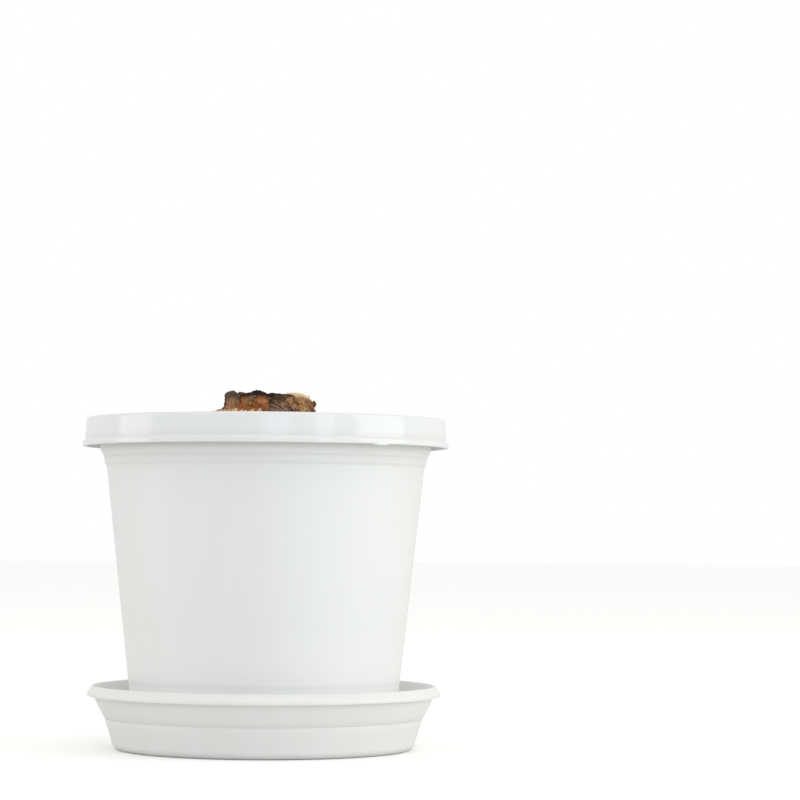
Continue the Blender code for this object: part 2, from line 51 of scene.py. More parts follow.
# Pot
POT_HEIGHT = 0.1350
BEAD_RADIUS = 0.0750
BEAD_HEIGHT = 0.0030
BEAD_DEPTH = 0.0008
BEAD_FACE = 0.0017
BEAD_ROUND = 0.0004
COLLAR_TOP_RADIUS = 0.0736
COLLAR_DEPTH = 0.0118
COLLAR_ROUND = 0.0012
INNER_LIP_RADIUS = 0.0673
INNER_LIP_ROUND = 0.0018
WALL = 0.0012
EDGE = 0.0006
BODY_TOP_RADIUS = 0.0652
BODY_TOP_HEIGHT = 0.1158
BODY_LOW_RADIUS = 0.0557
RING_RADIUS = 0.0660
RING_TOP = BODY_TOP_HEIGHT + 0.0031
POT_NECK_RADIUS = 0.0677
POT_NECK_HEIGHT = 0.1218
FOOT_STEP_HEIGHT = 0.0290
FOOT_STEP_SPAN = 0.0030
FOOT_RADIUS = 0.0553
FOOT_RING_WIDTH = 0.0016
POT_SEAT = 0.0037
POT_FLOOR_UNDER = POT_SEAT + 0.0020
POT_FLOOR = 0.0014
POT_FLOOR_ROUND = 0.0024
FINE_STEP = 0.0004
LINE_DEPTH = 0.00010
LINE_WIDTH = 0.00028
DRAIN_HOLE_RADIUS = 0.0025
DRAIN_HOLE_RINGS = ((0.0, 1), (0.022, 4), (0.040, 8))
# A sliver of moulding flash under the bead: direction in degrees, half its span, and its drop.
FLASH_TURN = 307.6
FLASH_HALF_SPAN = 4.0
FLASH_DROP = 0.0006
# Painted shade under the collar, and how far up the painted light that makes the foot paler goes.
UNDER_COLLAR_SHADE_LOW = POT_NECK_HEIGHT - 0.0012
UNDER_COLLAR_SHADE_SHARE = 1.7
LIT_FOOT_TOP = 0.0560

# Saucer
SAUCER_HEIGHT = 0.0260
SAUCER_RIM_RADIUS = 0.0722
SAUCER_RIM_DROP = 0.0037
SAUCER_RIM_LIP = 0.0006
SAUCER_LIP_RADIUS = 0.0698
SAUCER_WALL = 0.0013
SAUCER_CORNER = 0.0036
SAUCER_FLOOR_TOP = 0.0027
SAUCER_FOOT_OUTER = 0.0585
SAUCER_FOOT_INNER = 0.0460
SAUCER_HOLLOW = 0.0014
SAUCER_STEP_RADIUS = 0.0649
SAUCER_STEP_HEIGHT = 0.0127
SAUCER_LEDGE_RADIUS = 0.0688
SAUCER_LEDGE_HEIGHT = 0.0198
SUPPORT_RING_INNER = 0.0522
SUPPORT_RING_OUTER = 0.0563

# Bulb
BULB_CENTRE = Vector((0.0010, 0.0, 0.0))
BULB_BASE = 0.0463
BULB_OUTLINE = (
    (BULB_BASE, 0.0125), (0.0488, 0.0155), (0.0513, 0.0190), (0.0568, 0.0290), (0.0648, 0.0370),
    (0.0748, 0.0415), (0.0868, 0.0427), (0.0988, 0.0405), (0.1098, 0.0352), (0.1198, 0.0284),
    (0.1288, 0.0229), (0.1378, 0.0184), (0.1438, 0.0177),
)
NECK_TOP = BULB_OUTLINE[-1][0]
CORE_TOP = 0.1385
BULB_OVALNESS = 0.015
FULL_SHOULDER_TURN = math.radians(190)
FULL_SHOULDER = 0.0040
FULL_SHOULDER_LOW = 0.1153
FULL_SHOULDER_TOP = 0.1402
RIB_COUNT = 12
RIB_DEPTH = 0.0009
VEINS = 130
VEIN_DEPTH = 0.00012
TUNIC_THICKNESS = 0.0007
TUNIC_EDGES = ((0.1223, 0.0040, 3), (0.1333, 0.0035, 4))
ROOTS = 15
ROOT_LENGTH = 0.024
ROOT_RADIUS = 0.0016

# Dry skins: where they start, the level that their edges are read from, and how their torn
# edges and folds run.
SKIN_LOW = 0.1290
SKIN_LEVEL = 0.1400
TEAR_SCALE = 13.0
SIDE_SWAY = 0.11
SWIRL_SHIFTS = (70.2, 14.9, 38.6)
BACK_SKINS_START = 351.0
BACK_SKINS_END = 543
SHOULDER_TUNICS = 9
FRONT_FLAKES = 17
BACK_FLAKES = 22
TEAR_FIBRES = 46
LOOSE_FIBRES = 90

# Growing medium
MEDIUM_LEVEL = 0.1123
MEDIUM_MOUND = 0.0020
CRUMB_HEIGHT = 0.0022
ROOT_WELL_RADIUS = 0.0240
ROOT_WELL_FLOOR = 0.0213
CRUMBS = 1500
BARK_CHIPS = 56
CHIP_SIZE = 0.0062
CHIPS_INNER_RADIUS = 0.0415
CHIPS_OUTER_RADIUS = 0.0575
CHIP_RISE = 0.0006
COIR_THREADS = 260
COIR_INNER_RADIUS = 0.0365
COIR_OUTER_RADIUS = 0.0615

# Studio
CAMERA_DISTANCE = 1.1532
CAMERA_HEIGHT = 0.0873
CAMERA_LENS = 126.0
CAMERA_SENSOR = 36.0
CAMERA_PITCH = 2.78
CAMERA_YAW = 2.73
CAMERA_ROLL = 0.36
LIGHTS_AIM = Vector((0, 0, 0.08))
AMBIENT = 0.860
FLOOR_GLOW = 0.13
FLOOR_RADIUS = 8.0


# Materials

def rgba(colour, factor=1.0):
    return (*[value * factor for value in colour], 1.0)


def connect(tree, socket, value):
    """Links another node's output to a socket, or gives the socket a number or a colour."""
    if isinstance(value, bpy.types.NodeSocket):
        tree.links.new(value, socket)
    else:
        socket.default_value = value


def node(tree, kind, inputs=None, **settings):
    made = tree.nodes.new(kind)
    for key, value in settings.items():
        setattr(made, key, value)
    for key, value in (inputs or {}).items():
        connect(tree, made.inputs[key], value)
    return made


class Look:
    """A material, with short ways to add its nodes. Each returns the new node's output."""

    def __init__(self, name):
        self.material = bpy.data.materials.new(name)
        self.material.use_nodes = True
        self.tree = self.material.node_tree
        self.place = self.add("ShaderNodeTexCoord", "Object")

    def add(self, kind, output, inputs=None, **settings):
        return node(self.tree, kind, inputs, **settings).outputs[output]

    def noise(self, vector, scale, detail=4.0, roughness=0.55, distortion=0.0):
        return self.add("ShaderNodeTexNoise", "Fac", {
            "Vector": vector, "Scale": scale, "Detail": detail, "Roughness": roughness,
            "Distortion": distortion})

    def painted(self, attribute):
        return self.add("ShaderNodeAttribute", "Fac", attribute_name=attribute)

    def vector(self, operation, first, second=(0.0, 0.0, 0.0)):
        return self.add("ShaderNodeVectorMath", 0, {0: first, 1: second}, operation=operation)

    def number(self, operation, first, second):
        return self.add("ShaderNodeMath", 0, {0: first, 1: second}, operation=operation)

    def weighed(self, first, share, second, rest):
        return self.number("ADD", self.number("MULTIPLY", first, share),
                           self.number("MULTIPLY", second, rest))

    def remap(self, value, low, high, to_low=0.0, to_high=1.0):
        return self.add("ShaderNodeMapRange", "Result", {
            "Value": value, "From Min": low, "From Max": high, "To Min": to_low,
            "To Max": to_high}, interpolation_type="SMOOTHSTEP")

    def mixed(self, share, first, second):
        return self.add("ShaderNodeMix", 2, {0: share, 6: first, 7: second}, data_type="RGBA")

    def bump(self, height, distance, strength, below=None):
        inputs = {"Height": height, "Distance": distance, "Strength": strength}
        if below:
            inputs["Normal"] = below
        return self.add("ShaderNodeBump", "Normal", inputs)

    def surface(self, inputs):
        shader = self.tree.nodes["Principled BSDF"]
        for key, value in inputs.items():
            connect(self.tree, shader.inputs[key], value)
        return self.material


def plastic(name, colour, warm, gloss, grain, glossy_shaded_above, lit_below=None):
    """White injection-moulded plastic with faint flow streaks, satin grain and a few specks.

    The moulding is glossier above one height, where painted shade greys it, and painted light
    makes it paler below another.
    """
    look = Look(name)
    place = look.place
    cloud = look.noise(look.vector("MULTIPLY", place, (24.0, 24.0, 10.0)), 1.0, 2.0)
    streak = look.noise(look.vector("MULTIPLY", place, (90.0, 90.0, 9.0)), 1.0, 3.0)
    tone = look.remap(look.weighed(cloud, 0.6, streak, 0.4), 0.30, 0.70)
    base = look.mixed(tone, rgba(warm), rgba(colour))
    height = look.add("ShaderNodeSeparateXYZ", "Z", {0: place})
    # Painted light that makes the plastic paler towards the foot.
    if lit_below:
        low = look.remap(height, POT_SEAT, lit_below, 1.0, 0.0)
        base = look.mixed(low, base, (0.95, 0.95, 0.95, 1.0))
    # Painted shade that greys the plastic above the given height.
    high = look.remap(height, glossy_shaded_above, glossy_shaded_above + 0.001)
    base = look.mixed(high, base, rgba(colour, 0.96))
    # Painted shade darkens the fine grooves and the wall under the collar.
    base = look.mixed(look.painted("painted_shade"), base, rgba(warm, 0.90))
    cells = node(look.tree, "ShaderNodeTexVoronoi",
                 {"Vector": place, "Scale": 75.0, "Randomness": 1.0}, feature="F1").outputs
    pick = look.add("ShaderNodeSeparateColor", 0, {0: cells["Color"]})
    rare = look.remap(pick, 0.945, 0.95)
    near = look.remap(cells["Distance"], 0.014, 0.024, 1.0, 0.0)
    speck = look.number("MULTIPLY", look.number("MULTIPLY", rare, near), 0.65)
    base = look.mixed(speck, base, (0.25, 0.21, 0.17, 1.0))
    satin = look.remap(height, glossy_shaded_above, glossy_shaded_above + 0.001, gloss, 0.18 * gloss)
    wear = look.remap(look.noise(place, 160.0, 5.0), 0.3, 0.7, -0.02, 0.03)
    flow = look.noise(look.vector("MULTIPLY", place, (60.0, 60.0, 14.0)), 1.0, 2.0)
    broad = look.bump(flow, 0.0003, 0.06)
    return look.surface({
        "Base Color": base,
        "Roughness": look.number("ADD", wear, satin),
        "IOR": 1.49,
        "Specular IOR Level": 0.5,
        "Normal": look.bump(look.noise(place, 2600.0, 2.0), 0.00002, grain, broad)})


def upright_grain(look, across, upwards):
    """A point's compass direction from the bulb's axis and its height, for grain that runs up."""
    moved = look.vector("SUBTRACT", look.place, tuple(BULB_CENTRE))
    facing = look.vector("NORMALIZE", look.vector("MULTIPLY", moved, (1.0, 1.0, 0.0)))
    return look.vector("ADD", look.vector("MULTIPLY", facing, (across, across, 0.0)),
                       look.vector("MULTIPLY", moved, (0.0, 0.0, upwards)))


def tunic(name, deep, main, pale, edge_colour, edge_share=0.20, creased=0.35, fibre=1.0):
    """Dry bulb skin: fibres that run up it, blotches, thin creases painted darker as shade, painted
    shade deep in its folds, and a colour of its own along a torn edge.
    """
    look = Look(name)
    fibres = look.noise(upright_grain(look, 17.0, 70.0), 2.4, 6.0, 0.65, 0.6)
    blotch = look.noise(look.place, 210.0, 4.0, 0.6, 0.8)
    fine = look.noise(look.place, 1500.0, 4.0, 0.6)
    tone = look.weighed(fibres, 0.55 * fibre, blotch, 1.0 - 0.55 * fibre)
    dark_share = look.remap(tone, 0.33, 0.52, 1.0, 0.0)
    base = look.mixed(dark_share, rgba(main), rgba(deep))
    base = look.mixed(look.remap(tone, 0.50, 0.68), base, rgba(pale))
    base = look.mixed(look.remap(fine, 0.55, 0.75, 0.0, 0.5), base, rgba(deep, 0.55))
    # Thin creases: dark lines of painted shade, with bumps along them.
    field = look.noise(look.vector("MULTIPLY", look.place, (1.0, 1.0, 1.5)), 260.0, 2.0, 0.5, 0.9)
    contour = look.number("PINGPONG", look.number("MULTIPLY", field, 6.0), 0.5)
    crease = look.number("MULTIPLY", look.remap(contour, 0.0, 0.14, 1.0, 0.0), creased)
    base = look.mixed(crease, base, rgba(deep, 0.6))
    # Painted shade deep in the sheet's folds.
    fold_shade = look.remap(look.painted("fold"), 0.15, 0.95, 0.0, 0.75)
    base = look.mixed(fold_shade, base, rgba(deep, 0.45))
    torn_colour = look.mixed(dark_share, rgba(edge_colour, 1.10), rgba(edge_colour, 0.62))
    torn_colour = look.mixed(look.remap(fine, 0.45, 0.70, 0.0, 0.6), torn_colour,
                             rgba(edge_colour, 0.70))
    torn = look.number("ADD", look.painted("edge"), look.number("MULTIPLY", blotch, 0.30))
    base = look.mixed(look.remap(torn, 1.11 - edge_share, 1.23 - edge_share), base, torn_colour)
    ridges = look.bump(fibres, 0.0006, 0.8 * fibre)
    ridges = look.bump(look.number("MINIMUM", contour, 0.2), 0.0004, creased, ridges)
    return look.surface({
        "Base Color": base,
        "Roughness": look.remap(fibres, 0.3, 0.7, 0.72, 0.54),
        "Specular IOR Level": 0.22,
        "Normal": look.bump(fine, 0.00015, 0.6, ridges)})


def earth(name, dark, light, scale):
    """Crumbly organic matter."""
    look = Look(name)
    lumps = look.noise(look.place, scale, 8.0, 0.7, 0.4)
    grit = look.noise(look.place, scale * 5, 3.0, 0.6)
    base = look.mixed(look.remap(lumps, 0.35, 0.68), rgba(dark), rgba(light))
    base = look.mixed(look.remap(grit, 0.58, 0.72, 0.0, 0.6), base, rgba(light, 2.2))
    return look.surface({
        "Base Color": base,
        "Roughness": look.remap(grit, 0.3, 0.7, 0.98, 0.78),
        "Specular IOR Level": 0.25,
        "Normal": look.bump(lumps, 0.0012, 0.9, look.bump(grit, 0.0004, 0.7))})


# Each skin's deep, main, pale and torn-edge colours, and its own settings.
SKINS = {
    "brown": ((0.085, 0.038, 0.015), (0.22, 0.105, 0.043), (0.42, 0.25, 0.12),
              (0.37, 0.225, 0.11), {"edge_share": 0.11}),
    "dark": ((0.015, 0.007, 0.004), (0.050, 0.021, 0.009), (0.12, 0.055, 0.024),
             (0.030, 0.015, 0.009), {}),
    "red": ((0.19, 0.058, 0.018), (0.40, 0.132, 0.042), (0.60, 0.255, 0.100),
            (0.15, 0.062, 0.022), {"edge_share": 0.07, "creased": 0.12, "fibre": 0.15}),
    "umber": ((0.080, 0.040, 0.018), (0.175, 0.095, 0.045), (0.30, 0.175, 0.085),
              (0.040, 0.020, 0.011), {"edge_share": 0.16, "fibre": 0.6}),
    "purple": ((0.12, 0.066, 0.046), (0.31, 0.190, 0.135), (0.50, 0.37, 0.29),
               (0.095, 0.048, 0.028), {"edge_share": 0.15, "creased": 0.5, "fibre": 0.6}),
    "straw": ((0.17, 0.072, 0.026), (0.43, 0.20, 0.078), (0.68, 0.40, 0.18),
              (0.40, 0.22, 0.10), {"edge_share": 0.10, "creased": 0.95, "fibre": 0.15}),
    "cream": ((0.20, 0.095, 0.034), (0.54, 0.345, 0.160), (0.82, 0.67, 0.44),
              (0.80, 0.62, 0.37), {"edge_share": 0.12, "creased": 0.6, "fibre": 0.3}),
    "grey": ((0.16, 0.075, 0.034), (0.31, 0.155, 0.070), (0.46, 0.27, 0.14),
             (0.120, 0.068, 0.034), {"edge_share": 0.34, "creased": 0.4, "fibre": 0.4}),
    "rust": ((0.070, 0.020, 0.010), (0.20, 0.065, 0.028), (0.34, 0.14, 0.06),
             (0.030, 0.009, 0.005), {}),
    "ochre": ((0.20, 0.085, 0.020), (0.45, 0.22, 0.055), (0.60, 0.36, 0.12),
              (0.35, 0.17, 0.05), {}),
    "lichen": ((0.13, 0.095, 0.050), (0.34, 0.27, 0.155), (0.60, 0.53, 0.37),
               (0.5, 0.42, 0.28), {}),
    "flake": ((0.36, 0.19, 0.075), (0.64, 0.41, 0.20), (0.84, 0.64, 0.38),
              (0.78, 0.57, 0.33), {}),
    "scale": ((0.26, 0.15, 0.07), (0.52, 0.37, 0.20), (0.70, 0.58, 0.38),
              (0.19, 0.105, 0.055), {"edge_share": 0.22}),
}


# Curves and places

def polar(radius, turn, height=0.0):
    return Vector((radius * math.cos(turn), radius * math.sin(turn), height))


def smooth_step(value):
    value = min(max(value, 0.0), 1.0)
    return value * value * (3 - 2 * value)


def along(points, where):
    """Reads a smooth curve through (place, value) points, flat in slope at both ends."""
    last = len(points) - 1
    if where <= points[0][0]:
        return points[0][1]
    if where >= points[last][0]:
        return points[last][1]
    index = max(i for i in range(last) if points[i][0] <= where)
    (start, low), (end, high) = points[index], points[index + 1]
    before = points[max(index - 1, 0)]
    after = points[min(index + 2, last)]
    span = end - start
    slope_in = (high - before[1]) / (end - before[0]) * span
    slope_out = (after[1] - low) / (after[0] - start) * span
    share = (where - start) / span
    square, cube = share * share, share ** 3
    return ((2 * cube - 3 * square + 1) * low + (cube - 2 * square + share) * slope_in
            + (3 * square - 2 * cube) * high + (cube - square) * slope_out)


def corner(radius_at, height_at, size, start, end, steps):
    """Points along a round corner of a profile. Angles are in degrees, 0 towards +r, 90 up."""
    points = []
    for step in range(steps + 1):
        turn = math.radians(start + (end - start) * step / steps)
        points.append((radius_at + size * math.cos(turn), height_at + size * math.sin(turn)))
    return points


def eased(start, end, steps):
    """Points between two places of a profile, along a curve that leaves both without a corner."""
    points = []
    for step in range(steps + 1):
        share = step / steps
        points.append((start[0] + (end[0] - start[0]) * smooth_step(share),
                       start[1] + (end[1] - start[1]) * share))
    return points


def refined(profile):
    """Adds points to a profile wherever two lie further apart than the longest step."""
    fine = [profile[0]]
    for start, end in zip(profile, profile[1:]):
        steps = max(1, math.ceil(math.dist(start, end) / LONGEST_STEP))
        for step in range(1, steps + 1):
            share = step / steps
            fine.append((start[0] + (end[0] - start[0]) * share,
                         start[1] + (end[1] - start[1]) * share))
    return fine


# Meshes

def in_scene(name, data):
    """A new object with this data, in the scene."""
    made = bpy.data.objects.new(name, data)
    bpy.context.scene.collection.objects.link(made)
    return made


def as_object(name, shape):
    """A new object in the scene, made of an edited mesh, which is given up."""
    mesh = bpy.data.meshes.new(name)
    shape.to_mesh(mesh)
    shape.free()
    return in_scene(name, mesh)


def outward(points, faces):
    """Turns every face round if the closed shape is inside out."""
    triangles = np.array([(face[0], second, third)
                          for face in faces for second, third in zip(face[1:], face[2:])])
    first, second, third = (np.asarray(points, float)[triangles[:, side]] for side in range(3))
    volume = np.einsum("ij,ij->", first, np.cross(second, third))
    return faces if volume > 0 else [tuple(reversed(face)) for face in faces]


def make_piece(name, points, faces, material, weights=None):
    mesh = bpy.data.meshes.new(name)
    mesh.from_pydata(np.asarray(points, float).tolist(), [], faces)
    mesh.materials.append(material)
    for key, values in (weights or {}).items():
        attribute = mesh.attributes.new(key, "FLOAT", "POINT")
        attribute.data.foreach_set("value", np.asarray(values, np.float32).ravel())
    mesh.shade_smooth()
    mesh.set_sharp_from_angle(angle=SHARP_ANGLE)
    piece = in_scene(name, mesh)
    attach(piece, "root")
    return piece


def joined_piece(name, shapes, material):
    """One piece from many small closed shapes, each a list of points and faces."""
    points, faces = [], []
    for shape_points, shape_faces in shapes:
        start = len(points)
        points.extend(tuple(point) for point in shape_points)
        faces.extend(tuple(start + index for index in face) for face in shape_faces)
    return make_piece(name, points, faces, material)


def ring_faces(rows, columns):
    """Quads between rings that close on themselves."""
    faces = []
    for low in range(0, (rows - 1) * columns, columns):
        high = low + columns
        for column in range(columns):
            after = (column + 1) % columns
            faces.append((low + column, low + after, high + after, high + column))
    return faces


def closed_rings(rings, bottom, top):
    """Points and faces of a solid made of rings between two poles."""
    rings = np.asarray(rings, float)
    rows, columns, _ = rings.shape
    points = np.vstack([rings.reshape(-1, 3), [bottom], [top]])
    faces = ring_faces(rows, columns)
    low_pole, high_pole = len(points) - 2, len(points) - 1
    last = (rows - 1) * columns
    for column in range(columns):
        after = (column + 1) % columns
        faces.append((after, column, low_pole))
        faces.append((last + column, last + after, high_pole))
    return points, outward(points, faces)


def revolve(name, profile, material, shift, lines, shaded=None):
    """Turns a profile that starts and ends on the axis, with small local shifts of its own.

    Fine lines run round at given heights, beyond a radius, painted darker as shade in their
    grooves, and the last rule gives the share of painted shade elsewhere.
    """
    profile = refined(profile)
    rings = []
    shade_weights = []
    for radius, height in profile[1:-1]:
        ring = []
        for turn in TURNS:
            out, up = shift(turn, radius, height)
            ring.append(polar(radius + out, turn, height + up))
        rings.append(ring)
        depth = max(math.exp(-((height - at) / LINE_WIDTH) ** 2) if radius > reach else 0.0
                    for at, reach in lines)
        if shaded:
            depth = max(depth, shaded(radius, height))
        shade_weights += [depth] * RING_STEPS
    points, faces = closed_rings(rings, (0, 0, profile[0][1]), (0, 0, profile[-1][1]))
    return make_piece(name, points, faces, material, {"painted_shade": shade_weights + [0.0, 0.0]})


def thread(steps, place_at, radius_at, sides):
    """A tapered thread. Two rules give its middle line and its radius from one end to the other."""
    middle = [place_at(step / steps) for step in range(steps + 1)]
    points = []
    for index, point in enumerate(middle):
        ahead = middle[min(index + 1, steps)] - middle[max(index - 1, 0)]
        across = ahead.orthogonal().normalized()
        beside = ahead.cross(across).normalized()
        radius = radius_at(index / steps)
        for side in range(sides):
            turn = math.tau * side / sides
            points.append(point + radius * (across * math.cos(turn) + beside * math.sin(turn)))
    last = steps * sides
    caps = [tuple(reversed(range(sides))), tuple(range(last, last + sides))]
    return points, ring_faces(steps + 1, sides) + caps


def lump(size, stretch, twist, seat, roughness, seed, divisions=1):
    """A small angular lump: a ball of few faces, pushed about and turned."""
    shape = bmesh.new()
    bmesh.ops.create_icosphere(shape, subdivisions=divisions, radius=size / 2)
    points = []
    for vertex in shape.verts:
        push = 1 + roughness * noise.noise(vertex.co * (1.6 / size) + Vector((seed, 0, 0)))
        points.append(twist @ (vertex.co * push * Vector(stretch)) + seat)
    return points, taken_faces(shape)


def taken_faces(shape):
    """A mesh's faces as tuples of point numbers. The mesh is given up."""
    faces = [tuple(vertex.index for vertex in face.verts) for face in shape.faces]
    shape.free()
    return faces


# Pot and saucer

def pot_outer_radius(height):
    share = (height - FOOT_STEP_HEIGHT) / (BODY_TOP_HEIGHT - FOOT_STEP_HEIGHT)
    return BODY_LOW_RADIUS + (BODY_TOP_RADIUS - BODY_LOW_RADIUS) * share


def pot_inner_radius(height):
    return (FOOT_RADIUS if height < FOOT_STEP_HEIGHT else pot_outer_radius(height)) - WALL


def pot_profile():
    """From the floor's middle up the inside, over the collar and down the outside."""
    floor_top = POT_FLOOR_UNDER + POT_FLOOR
    inside_foot = FOOT_RADIUS - WALL
    collar_low = POT_HEIGHT - COLLAR_DEPTH
    bead_top = collar_low + BEAD_HEIGHT
    bead_foot = BEAD_RADIUS - BEAD_DEPTH
    under_rim = POT_HEIGHT - WALL
    outer_ring = RING_RADIUS + FINE_STEP
    foot_inner = FOOT_RADIUS - FOOT_RING_WIDTH
    return [
        (0.0, floor_top),
        *corner(inside_foot - POT_FLOOR_ROUND, floor_top + POT_FLOOR_ROUND,
                POT_FLOOR_ROUND, -90, 0, 6),
        (inside_foot, FOOT_STEP_HEIGHT - FINE_STEP),
        (pot_inner_radius(FOOT_STEP_HEIGHT), FOOT_STEP_HEIGHT + FINE_STEP),
        (BODY_TOP_RADIUS - WALL, BODY_TOP_HEIGHT),
        (RING_RADIUS - WALL, RING_TOP),
        (POT_NECK_RADIUS - WALL, POT_NECK_HEIGHT + FINE_STEP),
        *corner(INNER_LIP_RADIUS + INNER_LIP_ROUND, POT_HEIGHT - INNER_LIP_ROUND,
                INNER_LIP_ROUND, 180, 90, 8),
        *corner(COLLAR_TOP_RADIUS - COLLAR_ROUND, POT_HEIGHT - COLLAR_ROUND,
                COLLAR_ROUND, 90, 5, 7),
        *eased((bead_foot - LINE_DEPTH, bead_top), (BEAD_RADIUS, collar_low + BEAD_FACE), 8),
        *corner(BEAD_RADIUS - BEAD_ROUND, collar_low + BEAD_ROUND, BEAD_ROUND, 0, -90, 4),
        (BEAD_RADIUS - WALL - FINE_STEP, collar_low),
        (bead_foot - WALL, bead_top),
        (COLLAR_TOP_RADIUS - WALL, under_rim - EDGE),
        (COLLAR_TOP_RADIUS - WALL - EDGE, under_rim),
        (INNER_LIP_RADIUS + WALL + EDGE, under_rim),
        (INNER_LIP_RADIUS + WALL, under_rim - EDGE),
        (POT_NECK_RADIUS, POT_NECK_HEIGHT),
        *eased((POT_NECK_RADIUS - 0.0004, POT_NECK_HEIGHT - 0.0006),
               (outer_ring, RING_TOP + 0.0003), 6),
        (outer_ring - LINE_DEPTH, RING_TOP),
        (RING_RADIUS + 0.0001, RING_TOP - 0.0005),
        (RING_RADIUS, BODY_TOP_HEIGHT + 0.0007),
        (RING_RADIUS - 0.0002, BODY_TOP_HEIGHT + 0.0003),
        (BODY_TOP_RADIUS + 0.0001, BODY_TOP_HEIGHT - 0.0002),
        (pot_outer_radius(BODY_TOP_HEIGHT - 0.0012), BODY_TOP_HEIGHT - 0.0012),
        *eased((pot_outer_radius(FOOT_STEP_HEIGHT), FOOT_STEP_HEIGHT),
               (FOOT_RADIUS, FOOT_STEP_HEIGHT - FOOT_STEP_SPAN), 6),
        *corner(FOOT_RADIUS - EDGE, POT_SEAT + EDGE, EDGE, 0, -90, 3),
        (foot_inner, POT_SEAT),
        (foot_inner, POT_FLOOR_UNDER),
        (0.0, POT_FLOOR_UNDER),
    ]


def moulding_wave(turn, height):
    """The slight unevenness of a thin moulded wall."""
    spot = polar(2.2, turn, height * 22)
    return 0.00009 * noise.noise(spot) + 0.00003 * noise.noise(spot * 3.1)


def pot_shift(turn, radius, height):
    """The wall's unevenness, and the flash and ripples along the collar's lower edge."""
    out = moulding_wave(turn, height)
    if radius < BEAD_RADIUS - 0.0018 or height > POT_HEIGHT - COLLAR_DEPTH + EDGE:
        return out, 0.0
    away = abs((math.degrees(turn) - FLASH_TURN + 180) % 360 - 180)
    ripple = 0.00008 * noise.noise(polar(9, turn, 1.7))
    return out, ripple - FLASH_DROP * smooth_step(1 - away / FLASH_HALF_SPAN)


def drain_holes(pot):
    """Pierces the pot's floor with rings of round holes."""
    pegs = bmesh.new()
    for ring_radius, count in DRAIN_HOLE_RINGS:
        for index in range(count):
            made = bmesh.ops.create_cone(pegs, cap_ends=True, segments=28, depth=8 * POT_FLOOR,
                                         radius1=DRAIN_HOLE_RADIUS, radius2=DRAIN_HOLE_RADIUS)
            seat = polar(ring_radius, math.tau * index / count, POT_FLOOR_UNDER)
            bmesh.ops.translate(pegs, verts=made["verts"], vec=seat)
    cutter = as_object("drain_pegs", pegs)
    cut = pot.modifiers.new("Drain holes", "BOOLEAN")
    cut.operation = "DIFFERENCE"
    cut.solver = "MANIFOLD"
    cut.object = cutter
    bpy.context.view_layer.update()
    view = bpy.context.evaluated_depsgraph_get()
    pierced = bpy.data.meshes.new_from_object(pot.evaluated_get(view))
    pot.modifiers.clear()
    pot.data = pierced
    bpy.data.objects.remove(cutter, do_unlink=True)


def shade_under_collar(radius, height):
    """How much painted shade a point of the outer wall gets from lying up under the collar."""
    if radius < BODY_TOP_RADIUS or height > POT_HEIGHT - 3 * WALL:
        return 0.0
    rise = (height - UNDER_COLLAR_SHADE_LOW) / (POT_HEIGHT - COLLAR_DEPTH + EDGE - UNDER_COLLAR_SHADE_LOW)
    inwards = (POT_NECK_RADIUS + 2 * WALL - radius) / WALL
    return UNDER_COLLAR_SHADE_SHARE * smooth_step(rise) * smooth_step(inwards)


def make_pot():
    collar_low = POT_HEIGHT - COLLAR_DEPTH
    material = plastic("pot_plastic", (0.80, 0.815, 0.825), (0.795, 0.80, 0.79), 0.30, 0.6,
                       collar_low, LIT_FOOT_TOP)
    # Fine lines, painted darker as shade, and painted shade under the collar's overhang.
    lines = ((RING_TOP, POT_NECK_RADIUS - 0.0022), (BODY_TOP_HEIGHT, BODY_TOP_RADIUS - 0.0006),
             (collar_low + BEAD_HEIGHT + LINE_DEPTH, COLLAR_TOP_RADIUS))
    pot = revolve("pot_shell", pot_profile(), material, pot_shift, lines,
                  shade_under_collar)
    drain_holes(pot)
    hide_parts("pot")


